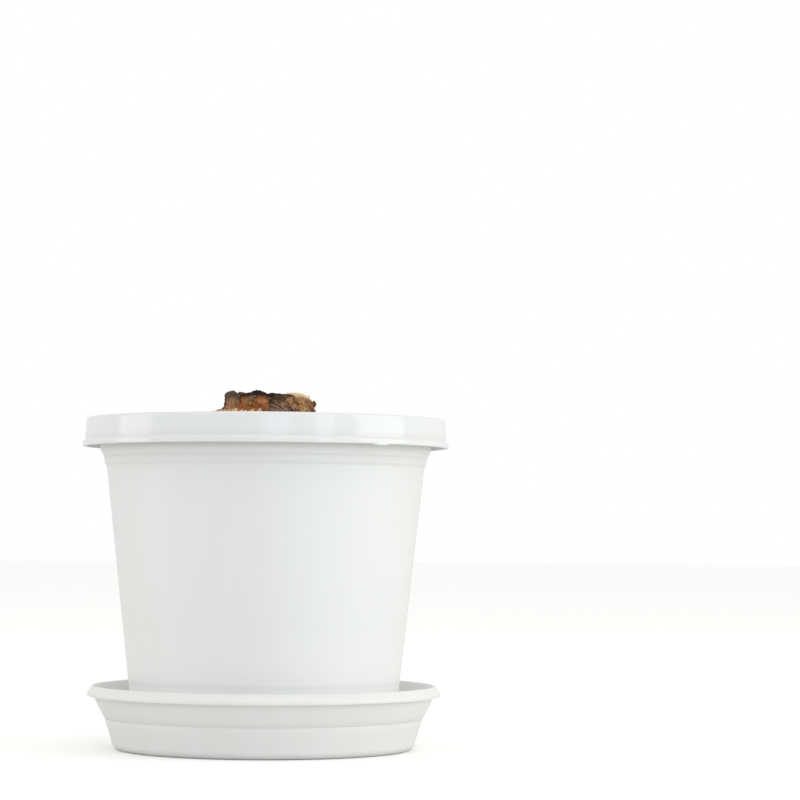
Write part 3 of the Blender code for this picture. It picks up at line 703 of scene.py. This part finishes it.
def saucer_profile():
    """From the floor's middle up the inside, over the turned-down rim and down the outside."""
    ring_top = POT_SEAT - GAP
    inner_corner = SAUCER_CORNER - SAUCER_WALL
    rim_edge = SAUCER_HEIGHT - SAUCER_RIM_DROP
    rim_middle = SAUCER_RIM_RADIUS - EDGE
    return [
        (0.0, SAUCER_FLOOR_TOP),
        (SUPPORT_RING_INNER - EDGE, SAUCER_FLOOR_TOP),
        (SUPPORT_RING_INNER, ring_top),
        (SUPPORT_RING_OUTER, ring_top),
        (SUPPORT_RING_OUTER + EDGE, SAUCER_FLOOR_TOP),
        *corner(SAUCER_FOOT_OUTER, SAUCER_FLOOR_TOP + inner_corner, inner_corner, -90, 0, 6),
        (SAUCER_STEP_RADIUS - SAUCER_WALL, SAUCER_STEP_HEIGHT + FINE_STEP),
        (SAUCER_LEDGE_RADIUS - SAUCER_WALL, SAUCER_LEDGE_HEIGHT),
        *corner(SAUCER_LIP_RADIUS, SAUCER_HEIGHT - 1.5 * EDGE, 1.5 * EDGE, 165, 50, 7),
        *corner(rim_middle, rim_edge + SAUCER_RIM_LIP, EDGE, 45, 0, 4),
        *corner(rim_middle, rim_edge, EDGE, 0, -60, 4),
        (SAUCER_LIP_RADIUS + EDGE, rim_edge + SAUCER_WALL),
        (SAUCER_LIP_RADIUS - FINE_STEP, rim_edge + SAUCER_WALL - FINE_STEP),
        (SAUCER_LEDGE_RADIUS, SAUCER_LEDGE_HEIGHT),
        (SAUCER_STEP_RADIUS + FINE_STEP, SAUCER_STEP_HEIGHT + FINE_STEP),
        (SAUCER_STEP_RADIUS - LINE_DEPTH, SAUCER_STEP_HEIGHT),
        (SAUCER_STEP_RADIUS, SAUCER_STEP_HEIGHT - FINE_STEP),
        *corner(SAUCER_FOOT_OUTER, SAUCER_CORNER, SAUCER_CORNER, 0, -90, 9),
        (SAUCER_FOOT_INNER, 0.0),
        (SAUCER_FOOT_INNER - SAUCER_HOLLOW, SAUCER_HOLLOW),
        (0.0, SAUCER_HOLLOW),
    ]


def saucer_shift(turn, radius, height):
    return moulding_wave(turn + 1.3, height + 0.4) * smooth_step(height / 0.004), 0.0


def make_saucer():
    material = plastic("saucer_plastic", (0.805, 0.815, 0.815), (0.80, 0.795, 0.775), 0.32, 0.7,
                       SAUCER_HEIGHT)
    lines = ((SAUCER_STEP_HEIGHT, SAUCER_STEP_RADIUS - 0.0006),)
    saucer = revolve("saucer_shell", saucer_profile(), material, saucer_shift,
                     lines)
    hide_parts("saucer")


# Bulb

def bulb_radius(height, turn):
    oval = 1 + BULB_OVALNESS * math.cos(2 * turn + 0.7)
    facing = max(0.0, math.cos(turn - FULL_SHOULDER_TURN)) ** 1.5
    rise = smooth_step((FULL_SHOULDER_TOP - height) / 0.0040)
    rise *= smooth_step((height - FULL_SHOULDER_LOW) / 0.0120)
    return along(BULB_OUTLINE, height) * oval + FULL_SHOULDER * facing * rise


def on_bulb(radius, height, turn):
    return BULB_CENTRE + polar(radius, turn, height)


def off_skin(distance, height, turn):
    """A place at a distance outside the bulb's plain form."""
    return on_bulb(bulb_radius(height, turn) + distance, height, turn)


def skin_relief(height, turn):
    """Ribs, dents and fine veins, pressed into the skin."""
    ribs = 0.5 + 0.5 * math.cos(RIB_COUNT * turn + 2.2 * noise.noise(polar(1, turn, height * 30)))
    dents = 0.5 + 0.5 * noise.noise(polar(2.5, turn, height * 60))
    fade = smooth_step((height - BULB_BASE) / 0.010)
    veins = abs(math.sin(0.5 * VEINS * turn + 5.0 * noise.noise(polar(3, turn, height * 22))))
    wrinkles = noise.fractal(polar(9, turn, height * 160), 0.8, 2.0, 3)
    return (-RIB_DEPTH * fade * (0.75 * ribs + 0.6 * dents)
            - VEIN_DEPTH * veins + 0.00012 * wrinkles)


def tunic_step(height, turn):
    """Thickness that the torn papery tunics add below their ragged upper edges."""
    added = 0.0
    for mean, swing, waves in TUNIC_EDGES:
        tear = math.sin(waves * turn + mean * 900) + 0.5 * math.sin((2 * waves + 3) * turn)
        added += TUNIC_THICKNESS * smooth_step((mean + swing * tear - height) / 0.0008 + 0.5)
    return added * smooth_step((height - MEDIUM_LEVEL - 0.0045) / 0.004)


def make_bulb_body(material):
    """The globe and its basal plate up to the neck, whose cut scales stand on it."""
    rings = []
    for height in np.linspace(BULB_BASE + 0.0004, CORE_TOP, 120):
        rings.append([off_skin(skin_relief(height, turn) + tunic_step(height, turn), height, turn)
                      for turn in TURNS])
    for share in (0.95, 0.85, 0.6, 0.3, 0.1):
        height = CORE_TOP - 0.002 * (1 - share)
        rings.append([on_bulb(bulb_radius(CORE_TOP, turn) * share, height, turn)
                      for turn in TURNS])
    points, faces = closed_rings(rings, on_bulb(0, BULB_BASE, 0), on_bulb(0, CORE_TOP - 0.0022, 0))
    body = make_piece("bulb_body", points, faces, material)
    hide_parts("bulb")


def sheet(name, material, turns, low, rim, place_at, thickness=0.0006, columns=90, rows=26,
          ragged=0.0003, closed=False, seed=0.0):
    """A dry sheet of tunic with a torn upper edge, as one thin closed solid.

    turns are its two sides in degrees, rim gives the edge's height at a turn in degrees, and
    place_at(turn, height, side, rise) gives its radius and how deep in a fold it lies, for painted
    shade. side and rise run from 0 to 1.
    """
    first, last = turns
    outer = np.zeros((rows + 1, columns + 1, 3))
    folds = np.zeros((rows + 1, columns + 1))
    for column in range(columns + 1):
        side = column / columns
        degrees = first + (last - first) * side
        turn = math.radians(degrees)
        near_side = 0.0 if closed else SIDE_SWAY * (2 * side - 1) ** 6
        spot = polar(TEAR_SCALE, turn, seed)
        tear = noise.fractal(spot, 0.9, 2.1, 4)
        notch = max(0.0, noise.noise(spot * 1.7 + Vector((0, 0, 5))) - 0.30)
        top = rim(degrees) + ragged * (tear - 2.5 * notch)
        for row in range(rows + 1):
            rise = row / rows
            height = low + (top - low) * rise
            place = Vector((height * 420, seed * 3.7, 11 * side))
            sway = near_side * noise.fractal(place, 0.9, 2.0, 3)
            radius, folds[row, column] = place_at(turn + sway, height, side, rise)
            outer[row, column] = on_bulb(radius, height, turn + sway)
    return sheet_solid(name, material, outer, folds, thickness, closed)


def sheet_solid(name, material, outer, folds, thickness, closed):
    """Gives a grid of points its thickness on the inner side. Its last row is the torn edge."""
    rows, columns = folds.shape
    normal = np.cross(np.gradient(outer, axis=1), np.gradient(outer, axis=0))
    normal /= np.maximum(np.linalg.norm(normal, axis=2, keepdims=True), 1e-12)
    rise = np.linspace(0.0, 1.0, rows)
    inner = outer - normal * thickness * (1.0 - 0.45 * rise[:, None, None] ** 3)
    if closed:
        outer, inner, folds = outer[:, :-1], inner[:, :-1], folds[:, :-1]
        columns -= 1
    points = np.vstack([outer.reshape(-1, 3), inner.reshape(-1, 3)])
    shift = rows * columns
    top = shift - columns
    faces = []
    for column in range(columns if closed else columns - 1):
        after = (column + 1) % columns
        for low in range(0, top, columns):
            a, b, c, d = low + column, low + after, low + columns + after, low + columns + column
            faces.append((a, b, c, d))
            faces.append((a + shift, d + shift, c + shift, b + shift))
        faces.append((column + shift, after + shift, after, column))
        faces.append((top + column, top + after, top + after + shift, top + column + shift))
    for a in range(0, 0 if closed else top, columns):
        b, c, d = a + columns, a + columns - 1, a + 2 * columns - 1
        faces.append((a, b, b + shift, a + shift))
        faces.append((d, c, c + shift, d + shift))
    # fold carries how deep in a fold each point lies, which the skins paint as shade.
    weights = {"edge": np.tile(np.repeat(rise, columns), 2), "fold": np.tile(folds.ravel(), 2)}
    return make_piece(name, points, outward(points, faces), material, weights)


def wrinkled(offset, amplitude, across=9.0, upwards=220.0, slant=0.0, lean=0.0, curl=0.0,
             seed=0.0, octaves=4):
    """A radius rule for a sheet: it follows the bulb, with wrinkles, and leans out at its edge.
    It also gives how deep in a crease each point lies, for painted shade.
    """
    def place_at(turn, height, side, rise):
        spot = polar(across, turn + slant * (height - NECK_TOP) * 60, height * upwards + seed)
        swirl = 1.1 * Vector([noise.noise(spot * 0.35 + Vector((0, 0, apart)))
                              for apart in SWIRL_SHIFTS])
        fold = noise.fractal(spot + swirl, 0.85, 2.0, octaves)
        line = noise.noise((spot + swirl) * 0.8 + Vector((3, 1, 7)))
        crease = (1.0 - min(1.0, 3.2 * abs(line))) ** 2
        radius = bulb_radius(min(height, NECK_TOP), turn) + offset
        radius += amplitude * smooth_step(rise * 4) * (0.7 * fold - 0.55 * crease)
        radius += lean * rise ** 2 + curl * (2 * side - 1) ** 2 * rise
        shade = min(1.0, max(0.0, crease - 0.5 * fold))
        return radius, shade * min(1.0, amplitude / 0.0007)
    return place_at


def wavy_rim(height, swing, waves, phase):
    return lambda degrees: height + swing * math.sin(math.radians(degrees * waves) + phase)


def make_neck(skins):
    """The layered leaf bases at the cut neck, as they show over the pot's rim from the front.

    Each one's upper edge runs through points: degrees, and millimetres above the skins' level.
    """
    def layer(name, kind, edge, folds, turns=None, low=SKIN_LOW, **settings):
        rim = [(degrees, SKIN_LEVEL + above / 1000) for degrees, above in edge]
        sheet(name, skins[kind], turns or (edge[0][0], edge[-1][0]), low,
              lambda degrees: along(rim, degrees), folds, **settings)

    layer("dark_layer", "dark",
          ((212, 4.3), (226, 4.7), (235, 4.9), (245, 5.7), (250, 6.2), (255, 6.2), (262, 5.5),
           (268, 4.7), (274, 4.1)),
          wrinkled(-0.0016, 0.0006, across=10.0, upwards=260.0, seed=3.0), columns=110, seed=2.0)
    layer("umber_layer", "umber",
          ((266, 3.8), (270, 4.8), (275, 5.2), (281, 4.9), (290, 4.5), (296, 4.2), (304, 3.8),
           (310, 3.0)),
          wrinkled(-0.0012, 0.0006, across=10.0, upwards=260.0, seed=4.0), seed=3.0)
    layer("brown_band", "umber",
          ((214, 3.6), (222, 4.3), (232, 4.4), (243, 4.6), (250, 4.9), (258, 4.7), (266, 4.3),
           (274, 3.0)),
          wrinkled(-0.0008, 0.0005, upwards=280.0, seed=5.0), columns=120, seed=5.0)
    layer("red_skin_left", "red",
          ((184, 2.4), (195, 3.0), (212, 3.6), (224, 3.7), (232, 3.7), (243, 3.9), (249, 4.0),
           (253, 3.6)),
          wrinkled(-0.0003, 0.0003, across=6.0, upwards=420.0, slant=1.0, seed=1.0),
          columns=150, rows=40, seed=1.0)
    layer("red_skin_middle", "red",
          ((247, 3.0), (254, 3.8), (258, 3.9), (265, 3.6), (272, 3.1), (279, 1.9)),
          wrinkled(-0.0001, 0.0003, across=6.0, upwards=420.0, slant=1.0, seed=6.0),
          rows=40, seed=4.0)
    layer("purple_fold", "purple",
          ((269, 0.4), (272, 2.4), (276, 3.8), (281, 4.0), (288, 3.4), (296, 3.0), (303, 2.6)),
          wrinkled(0.0006, 0.0007, upwards=420.0, slant=2.4, seed=9.0, octaves=2),
          columns=120, rows=56, seed=7.0)
    layer("straw_skin", "straw",
          ((287, 1.2), (293, 2.7), (300, 3.3), (306, 3.5), (325, 3.2), (338, 2.8), (346, 2.0),
           (352, 0.6)),
          wrinkled(0.0005, 0.0006, across=7.0, upwards=560.0, slant=2.2, seed=12.0),
          columns=160, rows=48, seed=11.0)
    cream_edge = ((294, 4.7), (297, 5.1), (308, 5.2), (316, 5.2), (326, 4.8), (336, 4.1),
                  (347, 3.4), (356, 2.4))
    for index in range(3):
        layer(f"cream_edge_{index}", "cream",
              [(degrees, above - 0.5 * index) for degrees, above in cream_edge],
              wrinkled(-0.0007 + 0.0004 * index, 0.0003, across=12.0, upwards=420.0,
                       seed=15.0 + index),
              (294 + 5 * index, 356 - 2 * index), 0.1405, thickness=0.00035, columns=130, rows=18,
              ragged=0.0004, seed=14.0 + index)
    layer("umber_fold", "umber",
          ((281, 4.7), (288, 4.6), (295, 4.5), (302, 4.1), (307, 3.6), (311, 2.8)),
          wrinkled(0.0003, 0.0003, across=8.0, upwards=400.0, slant=2.0, seed=24.0),
          low=SKIN_LEVEL, thickness=0.0005, columns=60, rows=20, ragged=0.0002, seed=24.0)
    layer("corner_flap", "grey",
          ((176, 4.7), (181, 5.4), (188, 5.7), (200, 5.9), (210, 6.2), (215, 6.1), (220, 5.3),
           (227, 4.1)),
          wrinkled(-0.0002, 0.0005, lean=0.0002, curl=0.0003, seed=18.0),
          low=0.1372, thickness=0.0005, columns=80, rows=28, seed=17.0)
    turn = math.radians(352)
    tip = off_skin(0.0005, 0.1412, turn)
    shape = lump(0.0019, (1.0, 1.0, 1.4), Euler((0, 0.35, 0)).to_matrix(), tip, 0.45, 21.0, 3)
    joined_piece("right_tip", [shape], skins["rust"])
    layer("ochre_patch", "ochre", ((241, 1.6), (244, 2.7), (248, 2.0)),
          wrinkled(0.0003, 0.0004, across=14.0, seed=23.0),
          low=SKIN_LEVEL, thickness=0.0004, columns=24, rows=16, ragged=0.0006, seed=22.0)


def make_tear(material):
    """Fine pale fibres that cross the red skin where two sheets part."""
    draw = random.Random(17)
    shapes = []
    for index in range(TEAR_FIBRES):
        begin = draw.uniform(0.0, 0.72)
        length = draw.uniform(0.16, 0.40)
        aside = draw.uniform(-2.6, 2.6)
        bow = draw.uniform(-2.0, 2.0)
        radius = draw.uniform(0.00005, 0.00013)

        def place_at(share):
            down = begin + length * share
            bowed = bow * math.sin(math.pi * share)
            turn = math.radians(250.0 - 10.0 * down + aside + bowed)
            height = SKIN_LEVEL + 0.0040 - 0.0038 * down
            stand_off = 0.0005 + 0.0003 * math.sin(9 * down + index)
            return off_skin(stand_off, height, turn)

        shapes.append(thread(6, place_at, lambda share: radius * (1.1 - 0.8 * abs(2 * share - 1)),
                             5))
    joined_piece("tear_fibres", shapes, material)


def make_back_skins(skins):
    """Skins that go on round the sides and the back of the neck."""
    draw = random.Random(31)
    start = BACK_SKINS_START
    for index, kind in enumerate(("straw", "red", "purple", "straw", "red", "straw", "grey")):
        width = min(draw.uniform(34, 50), BACK_SKINS_END - start)
        height = draw.uniform(0.1430, 0.1448)
        swing = draw.uniform(0.0004, 0.0010)
        rim = wavy_rim(height, swing, 6, draw.uniform(0, math.tau))
        offset = draw.uniform(-0.0004, 0.0003)
        slant = draw.uniform(-1, 1)
        lean = draw.uniform(-0.0010, 0.0003)
        sheet(f"back_skin_{index}", skins[kind], (start, start + width), SKIN_LOW, rim,
              wrinkled(offset, 0.0010, slant=slant, lean=lean, seed=40.0 + index),
              columns=100, ragged=0.0007, seed=50.0 + index)
        start += width * draw.uniform(0.60, 0.72)
        if start > BACK_SKINS_END - 4:
            break


def make_scales(material):
    """The cut scales inside the neck, ring within ring."""
    shares = ((0.84, 0.0004), (0.73, 0.0016), (0.61, 0.0006), (0.49, 0.0021), (0.37, 0.0011),
              (0.25, 0.0026), (0.13, 0.0018))
    for index, (share, drop) in enumerate(shares):
        def place_at(turn, height, side, rise):
            shape = 1 + 0.05 * math.sin(2 * turn + index * 0.8) + 0.025 * math.sin(3 * turn - index)
            wave = noise.noise(polar(5, turn, height * 120 + 9 * index))
            return bulb_radius(NECK_TOP, turn) * share * shape + 0.0003 * wave, 0.0

        rim = wavy_rim(NECK_TOP + 0.0012 - drop, 0.0007, 2 + index % 3, index * 1.9)
        sheet(f"neck_scale_{index}", material, (0, 360), CORE_TOP - 0.0040, rim, place_at,
              0.0013 if share > 0.2 else 0.0009, columns=150, rows=12, ragged=0.0006, closed=True,
              seed=60.0 + index)


def make_shoulder_tunics(skins):
    """Papery tunics that wrap the shoulder, torn off at different heights."""
    draw = random.Random(77)
    for index in range(SHOULDER_TUNICS):
        start = index * 41 + draw.uniform(-8, 8)
        width = draw.uniform(46, 78)
        top = draw.uniform(0.1215, 0.1345)
        waves = draw.uniform(3, 7)
        phase = draw.uniform(0, math.tau)
        rim = wavy_rim(top, draw.uniform(0.0010, 0.0026), waves, phase)
        folds = wrinkled(0.0002 + 0.0001 * (index % 4), 0.0005, across=6.0, upwards=120.0,
                         lean=draw.uniform(0.0001, 0.0016), seed=80.0 + index)
        kind = ("brown", "straw", "brown", "red")[index % 4]
        sheet(f"shoulder_tunic_{index}", skins[kind], (start, start + width),
              MEDIUM_LEVEL - 0.001, rim, folds, 0.0004, columns=120, rows=28, ragged=0.0013,
              seed=90.0 + index)


def make_fringe(skins):
    """Loose flakes where the outer tunic is torn away: a pale fringe in line with the pot's rim
    in front, and duller, more ragged ones round the back.
    """
    draw = random.Random(13)
    flakes = []
    for index in range(FRONT_FLAKES):
        flakes.append((186 + index * 4.6 + draw.uniform(-2, 2), draw.uniform(4, 8),
                       0.1382 + draw.uniform(-0.0005, 0.0002), draw.uniform(0.0010, 0.0036),
                       skins["flake"], 26, 0.0005))
    for index in range(BACK_FLAKES):
        flakes.append((280 + index * 12 + draw.uniform(-5, 5), draw.uniform(7, 15),
                       draw.uniform(0.1290, 0.1385), draw.uniform(0.0008, 0.0040) * 0.45,
                       skins["straw"], 60, 0.0016))
    for index, (start, width, top, lean, material, columns, ragged) in enumerate(flakes):
        edge = wavy_rim(top, 0.0003, 23, index)

        def rim(degrees):
            aside = abs(2 * (degrees - start) / width - 1)
            return edge(degrees) - 0.0022 * aside ** 2.5

        folds = wrinkled(-0.0002, 0.0004, across=12.0, lean=lean,
                         curl=draw.uniform(-0.0008, 0.0012), seed=110.0 + index)
        sheet(f"fringe_flake_{index}", material, (start, start + width), top - 0.0085, rim, folds,
              0.00035, columns, 14, ragged, seed=120.0 + index)


def make_fibres(material):
    """Fine threads that the torn skins leave standing at the neck, lower down in front."""
    draw = random.Random(8)
    shapes = []
    for index in range(LOOSE_FIBRES):
        turn = draw.uniform(0, math.tau)
        height = draw.uniform(0.1270, 0.1380)
        radius = bulb_radius(height, turn) + 0.0003
        length = draw.uniform(0.0015, 0.0050)
        if 3.4 < turn < 6.1:
            height -= 0.0050
        sway = draw.uniform(-0.10, 0.10)
        lean = draw.uniform(0.0002, 0.0014)

        def place_at(share):
            return on_bulb(radius + lean * share ** 1.5, min(height + length * share, 0.1445),
                           turn + sway * share + 0.03 * math.sin(4 * share + index))

        shapes.append(thread(6, place_at, lambda share: 0.00011 * (1.1 - share), 5))
    joined_piece("skin_fibres", shapes, material)


def make_roots(material):
    """Dried roots under the basal plate."""
    draw = random.Random(11)
    shapes = []
    for index in range(ROOTS):
        turn = math.tau * (index + draw.uniform(-0.25, 0.25)) / ROOTS
        start = draw.uniform(0.0065, 0.0105)
        spread = draw.uniform(0.0060, 0.0100)
        length = ROOT_LENGTH * draw.uniform(0.7, 1.0)
        sway = draw.uniform(-0.5, 0.5)

        def place_at(share):
            radius = start + spread * math.sin(share * math.pi * 0.5)
            bend = turn + sway * share + 0.12 * math.sin(5 * share + index)
            return on_bulb(radius, BULB_BASE + 0.0025 - length * share, bend)

        def radius_at(share):
            ripple = 1 + 0.12 * noise.noise(Vector((21.6 * share, index, 0)))
            return ROOT_RADIUS * (1.0 - 0.55 * share) * ripple

        shapes.append(thread(24, place_at, radius_at, 10))
    joined_piece("roots", shapes, material)


def make_bulb():
    skins = {kind: tunic(f"skin_{kind}", *colours, **settings)
             for kind, (*colours, settings) in SKINS.items()}
    make_bulb_body(skins["brown"])
    make_scales(skins["scale"])
    make_back_skins(skins)
    make_shoulder_tunics(skins)
    make_neck(skins)
    make_tear(skins["lichen"])
    make_fringe(skins)
    make_fibres(skins["flake"])
    make_roots(skins["brown"])


# Growing medium

def surface_height(x, y, fine=True):
    """The medium's surface, with small crumbs on it, or as coarse as the solid's."""
    mound = MEDIUM_MOUND * smooth_step((0.058 - math.hypot(x, y)) / 0.020)
    lumps = noise.fractal(Vector((x * 130, y * 130, 3.7)), 0.9, 2.0, 3)
    height = MEDIUM_LEVEL - 0.0015 + mound + CRUMB_HEIGHT * 0.8 * lumps
    if not fine:
        return height + CRUMB_HEIGHT * (0.5 * noise.cell(Vector((x * 260, y * 260, 1.3))) - 0.25)
    crumbs = noise.fractal(Vector((x * 420, y * 420, 8.1)), 0.7, 2.2, 4)
    pits = noise.noise(Vector((x * 900, y * 900, 2.0)))
    return height + 0.0009 * crumbs + 0.0003 * pits


def make_medium_body(material):
    """The filling of the pot, with the plain hole that the bulb and its roots stand in."""
    floor = POT_FLOOR_UNDER + POT_FLOOR + GAP
    foot_radius = FOOT_RADIUS - WALL - GAP
    side_top = MEDIUM_LEVEL - 0.0060
    outer_radius = pot_inner_radius(side_top) - GAP

    def ring(radius, height):
        return [polar(radius, turn, height) for turn in TURNS]

    def surface_ring(share):
        near_bulb = smooth_step(share * 6 - 5)
        points = []
        for turn in TURNS:
            mouth_height = MEDIUM_LEVEL + MEDIUM_MOUND * (0.4 + 0.3 * math.sin(5 * turn))
            mouth = off_skin(GAP, mouth_height, turn)
            spot = polar(outer_radius, turn).lerp(mouth, share)
            spot.z = surface_height(spot.x, spot.y) * (1 - near_bulb) + mouth_height * near_bulb
            points.append(spot)
        return points

    def hole_ring(height):
        return [on_bulb(max(bulb_radius(height, turn) + GAP, ROOT_WELL_RADIUS), height, turn)
                for turn in TURNS]

    rings = [ring(foot_radius - POT_FLOOR_ROUND, floor), ring(foot_radius, floor + POT_FLOOR_ROUND),
             ring(foot_radius, FOOT_STEP_HEIGHT + FINE_STEP), ring(outer_radius, side_top)]
    rings += [surface_ring(step / 100) for step in range(101)]
    rings += [hole_ring(height) for height in np.linspace(MEDIUM_LEVEL - 0.004, 0.0513, 24)]
    rings += [[on_bulb(ROOT_WELL_RADIUS - inwards, ROOT_WELL_FLOOR + 0.004 - inwards, turn)
               for turn in TURNS] for inwards in (0.0, 0.004)]
    points, faces = closed_rings(rings, (0, 0, floor), on_bulb(0, ROOT_WELL_FLOOR, 0))
    body = make_piece("growing_mix", points, faces, material)
    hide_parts("growing_medium")


def make_crumbs(material):
    draw = random.Random(41)
    shapes = []
    while len(shapes) < CRUMBS:
        turn = draw.uniform(0, math.tau)
        radius = 0.0625 * math.sqrt(draw.uniform(0.30, 0.97))
        x, y = polar(radius, turn).xy
        if math.hypot(x - BULB_CENTRE.x, y) < bulb_radius(MEDIUM_LEVEL, turn) + 0.001:
            continue
        size = 0.0009 + 0.0028 * draw.random() ** 3
        if radius + size / 2 > pot_inner_radius(MEDIUM_LEVEL) - GAP:
            continue
        stretch = (draw.uniform(0.8, 1.3), draw.uniform(0.7, 1.1), draw.uniform(0.6, 1.0))
        twist = Euler([draw.uniform(0, math.tau) for _ in range(3)]).to_matrix()
        seat = Vector((x, y, surface_height(x, y) + 0.2 * size))
        shapes.append(lump(size, stretch, twist, seat, 0.9, len(shapes) * 1.7))
    joined_piece("mix_crumbs", shapes, material)


def make_chips(material):
    """Angular bark chips, half sunk in the surface and clear of the bulb and the pot."""
    draw = random.Random(23)
    shapes = []
    for index in range(BARK_CHIPS):
        turn = math.tau * (index * 0.618034 % 1.0)
        radius = CHIPS_INNER_RADIUS + (CHIPS_OUTER_RADIUS - CHIPS_INNER_RADIUS) * draw.random()
        stretch = Vector((draw.uniform(0.8, 1.5), draw.uniform(0.5, 1.0), draw.uniform(0.4, 0.9)))
        twist = Euler((draw.uniform(-0.5, 0.5), draw.uniform(-0.5, 0.5),
                       draw.uniform(0, math.tau))).to_matrix()
        x, y = polar(radius, turn).xy
        seat = Vector((x, y, surface_height(x, y, fine=False) + CHIP_RISE))
        chip = bmesh.new()
        bmesh.ops.create_cube(chip, size=CHIP_SIZE)
        bmesh.ops.subdivide_edges(chip, edges=chip.edges[:], cuts=5, use_grid_fill=True)
        points = []
        for vertex in chip.verts:
            spot = vertex.co * (1 + 0.35 * noise.noise(vertex.co * 400 + Vector((index, 0, 0))))
            layered = spot * Vector((225, 900, 900)) + Vector((0, index, 0))
            split = 0.00022 * noise.noise(layered)
            split += 0.00030 * noise.noise(spot * 550 + Vector((0, 0, index)))
            rounded = 0.93 + 0.07 * (CHIP_SIZE / 2) / max(spot.length, 1e-6)
            points.append(twist @ ((spot * stretch + spot.normalized() * split) * rounded) + seat)
        shapes.append((points, taken_faces(chip)))
    joined_piece("bark_chips", shapes, material)


def make_coir(material):
    """Coir threads that lie on the surface."""
    draw = random.Random(57)
    shapes = []
    while len(shapes) < COIR_THREADS:
        turn = draw.uniform(0, math.tau)
        radius = 0.060 * math.sqrt(draw.uniform(0.45, 0.95))
        heading = draw.uniform(0, math.tau)
        bend = draw.uniform(-220, 220)
        stride = draw.uniform(0.004, 0.014) / 8
        x, y = polar(radius, turn).xy
        points = []
        for step in range(9):
            arch = 0.0012 * math.sin(math.pi * step / 8) * draw.uniform(0.7, 1.0)
            points.append(Vector((x, y, surface_height(x, y) + 0.0004 + arch)))
            x += math.cos(heading) * stride
            y += math.sin(heading) * stride
            heading += bend * stride
        inside = all(point.xy.length < COIR_OUTER_RADIUS for point in points)
        clear = all((point - BULB_CENTRE).xy.length > COIR_INNER_RADIUS for point in points)
        if inside and clear:
            thickness = draw.uniform(0.00009, 0.00016)
            shapes.append(thread(8, lambda share: points[round(8 * share)],
                                 lambda share: thickness, 5))
    joined_piece("coir_threads", shapes, material)


def make_medium():
    peat = earth("peat", (0.018, 0.010, 0.006), (0.085, 0.048, 0.028), 420.0)
    make_medium_body(peat)
    make_crumbs(peat)
    make_chips(earth("bark", (0.050, 0.024, 0.012), (0.20, 0.105, 0.055), 300.0))
    make_coir(earth("coir", (0.14, 0.075, 0.035), (0.33, 0.20, 0.10), 700.0))


# Studio

def towards(azimuth, elevation):
    """A unit vector. Azimuth 0 points to the back and 90 to the right, in degrees."""
    turn, lift = math.radians(azimuth), math.radians(elevation)
    return Vector((math.sin(turn) * math.cos(lift), math.cos(turn) * math.cos(lift),
                   math.sin(lift)))


def make_camera():
    camera = in_scene("camera", bpy.data.cameras.new("camera"))
    camera.data.lens = CAMERA_LENS
    camera.data.sensor_width = CAMERA_SENSOR
    roll = math.radians(CAMERA_ROLL)
    ahead = towards(CAMERA_YAW, CAMERA_PITCH)
    level = towards(CAMERA_YAW + 90, 0)
    upright = level.cross(ahead)
    right = math.cos(roll) * level + math.sin(roll) * upright
    up = -math.sin(roll) * level + math.cos(roll) * upright
    placed = Matrix((right, up, -ahead)).transposed().to_4x4()
    placed.translation = Vector((0, -CAMERA_DISTANCE, CAMERA_HEIGHT))
    camera.matrix_world = placed
    bpy.context.scene.camera = camera


def softbox(name, azimuth, elevation, distance, width, height, radiance, colour):
    """A soft panel light. Azimuth 0 is in front of the pot and 90 is to its right."""
    light = bpy.data.lights.new(name, "AREA")
    light.shape = "RECTANGLE"
    light.size = width
    light.size_y = height
    light.energy = radiance * math.pi * width * height
    light.color = colour
    panel = in_scene(name, light)
    away = towards(180 - azimuth, elevation)
    panel.location = LIGHTS_AIM + away * distance
    panel.rotation_euler = away.to_track_quat("Z", "Y").to_euler()
    panel.visible_camera = False


def make_floor():
    """A pale floor, a little brighter to the camera than the light that it throws back."""
    shape = bmesh.new()
    bmesh.ops.create_circle(shape, cap_ends=True, segments=96, radius=FLOOR_RADIUS)
    floor = as_object("floor", shape)
    look = Look("floor_white")
    camera_ray = look.add("ShaderNodeLightPath", "Is Camera Ray")
    seen = look.mixed(look.noise(look.place, 40.0, 3.0), rgba((0.955,) * 3), rgba((0.965,) * 3))
    floor.data.materials.append(look.surface({
        "Base Color": look.mixed(camera_ray, (0.80, 0.80, 0.79, 1.0), seen),
        "Emission Strength": look.number("MULTIPLY", camera_ray, FLOOR_GLOW),
        "Emission Color": rgba((1.0,) * 3),
        "Roughness": 0.8,
        "Specular IOR Level": 0.1}))


def make_studio():
    make_floor()
    world = bpy.data.worlds.new("studio")
    world.use_nodes = True
    bpy.context.scene.world = world
    tree = world.node_tree
    ambient = tree.nodes["Background"]
    ambient.inputs["Color"].default_value = (1.0, 1.0, 0.985, 1.0)
    ambient.inputs["Strength"].default_value = AMBIENT
    seen = node(tree, "ShaderNodeBackground", {"Color": (1, 1, 1, 1), "Strength": 1.0})
    path = node(tree, "ShaderNodeLightPath")
    choice = node(tree, "ShaderNodeMixShader", {
        0: path.outputs["Is Camera Ray"], 1: ambient.outputs[0], 2: seen.outputs[0]})
    connect(tree, tree.nodes["World Output"].inputs["Surface"], choice.outputs[0])

    softbox("window_front", 6, 8, 2.0, 0.55, 1.6, 1.15, (0.76, 0.96, 1.28))
    softbox("window_narrow", 37, 9, 2.0, 0.36, 0.80, 1.50, (0.92, 1.00, 1.10))
    softbox("window_right", 77, 12, 1.6, 1.05, 1.5, 1.75, (1.01, 1.04, 0.95))
    softbox("window_left", -90, 10, 1.6, 0.8, 1.4, 1.37, (0.99, 1.02, 0.98))
    softbox("overhead", 20, 80, 1.6, 1.4, 1.4, 0.23, (1.30, 1.00, 0.40))
    bpy.context.scene.view_settings.view_transform = "Standard"


make_camera()
make_studio()
make_saucer()
make_pot()
make_medium()
make_bulb()
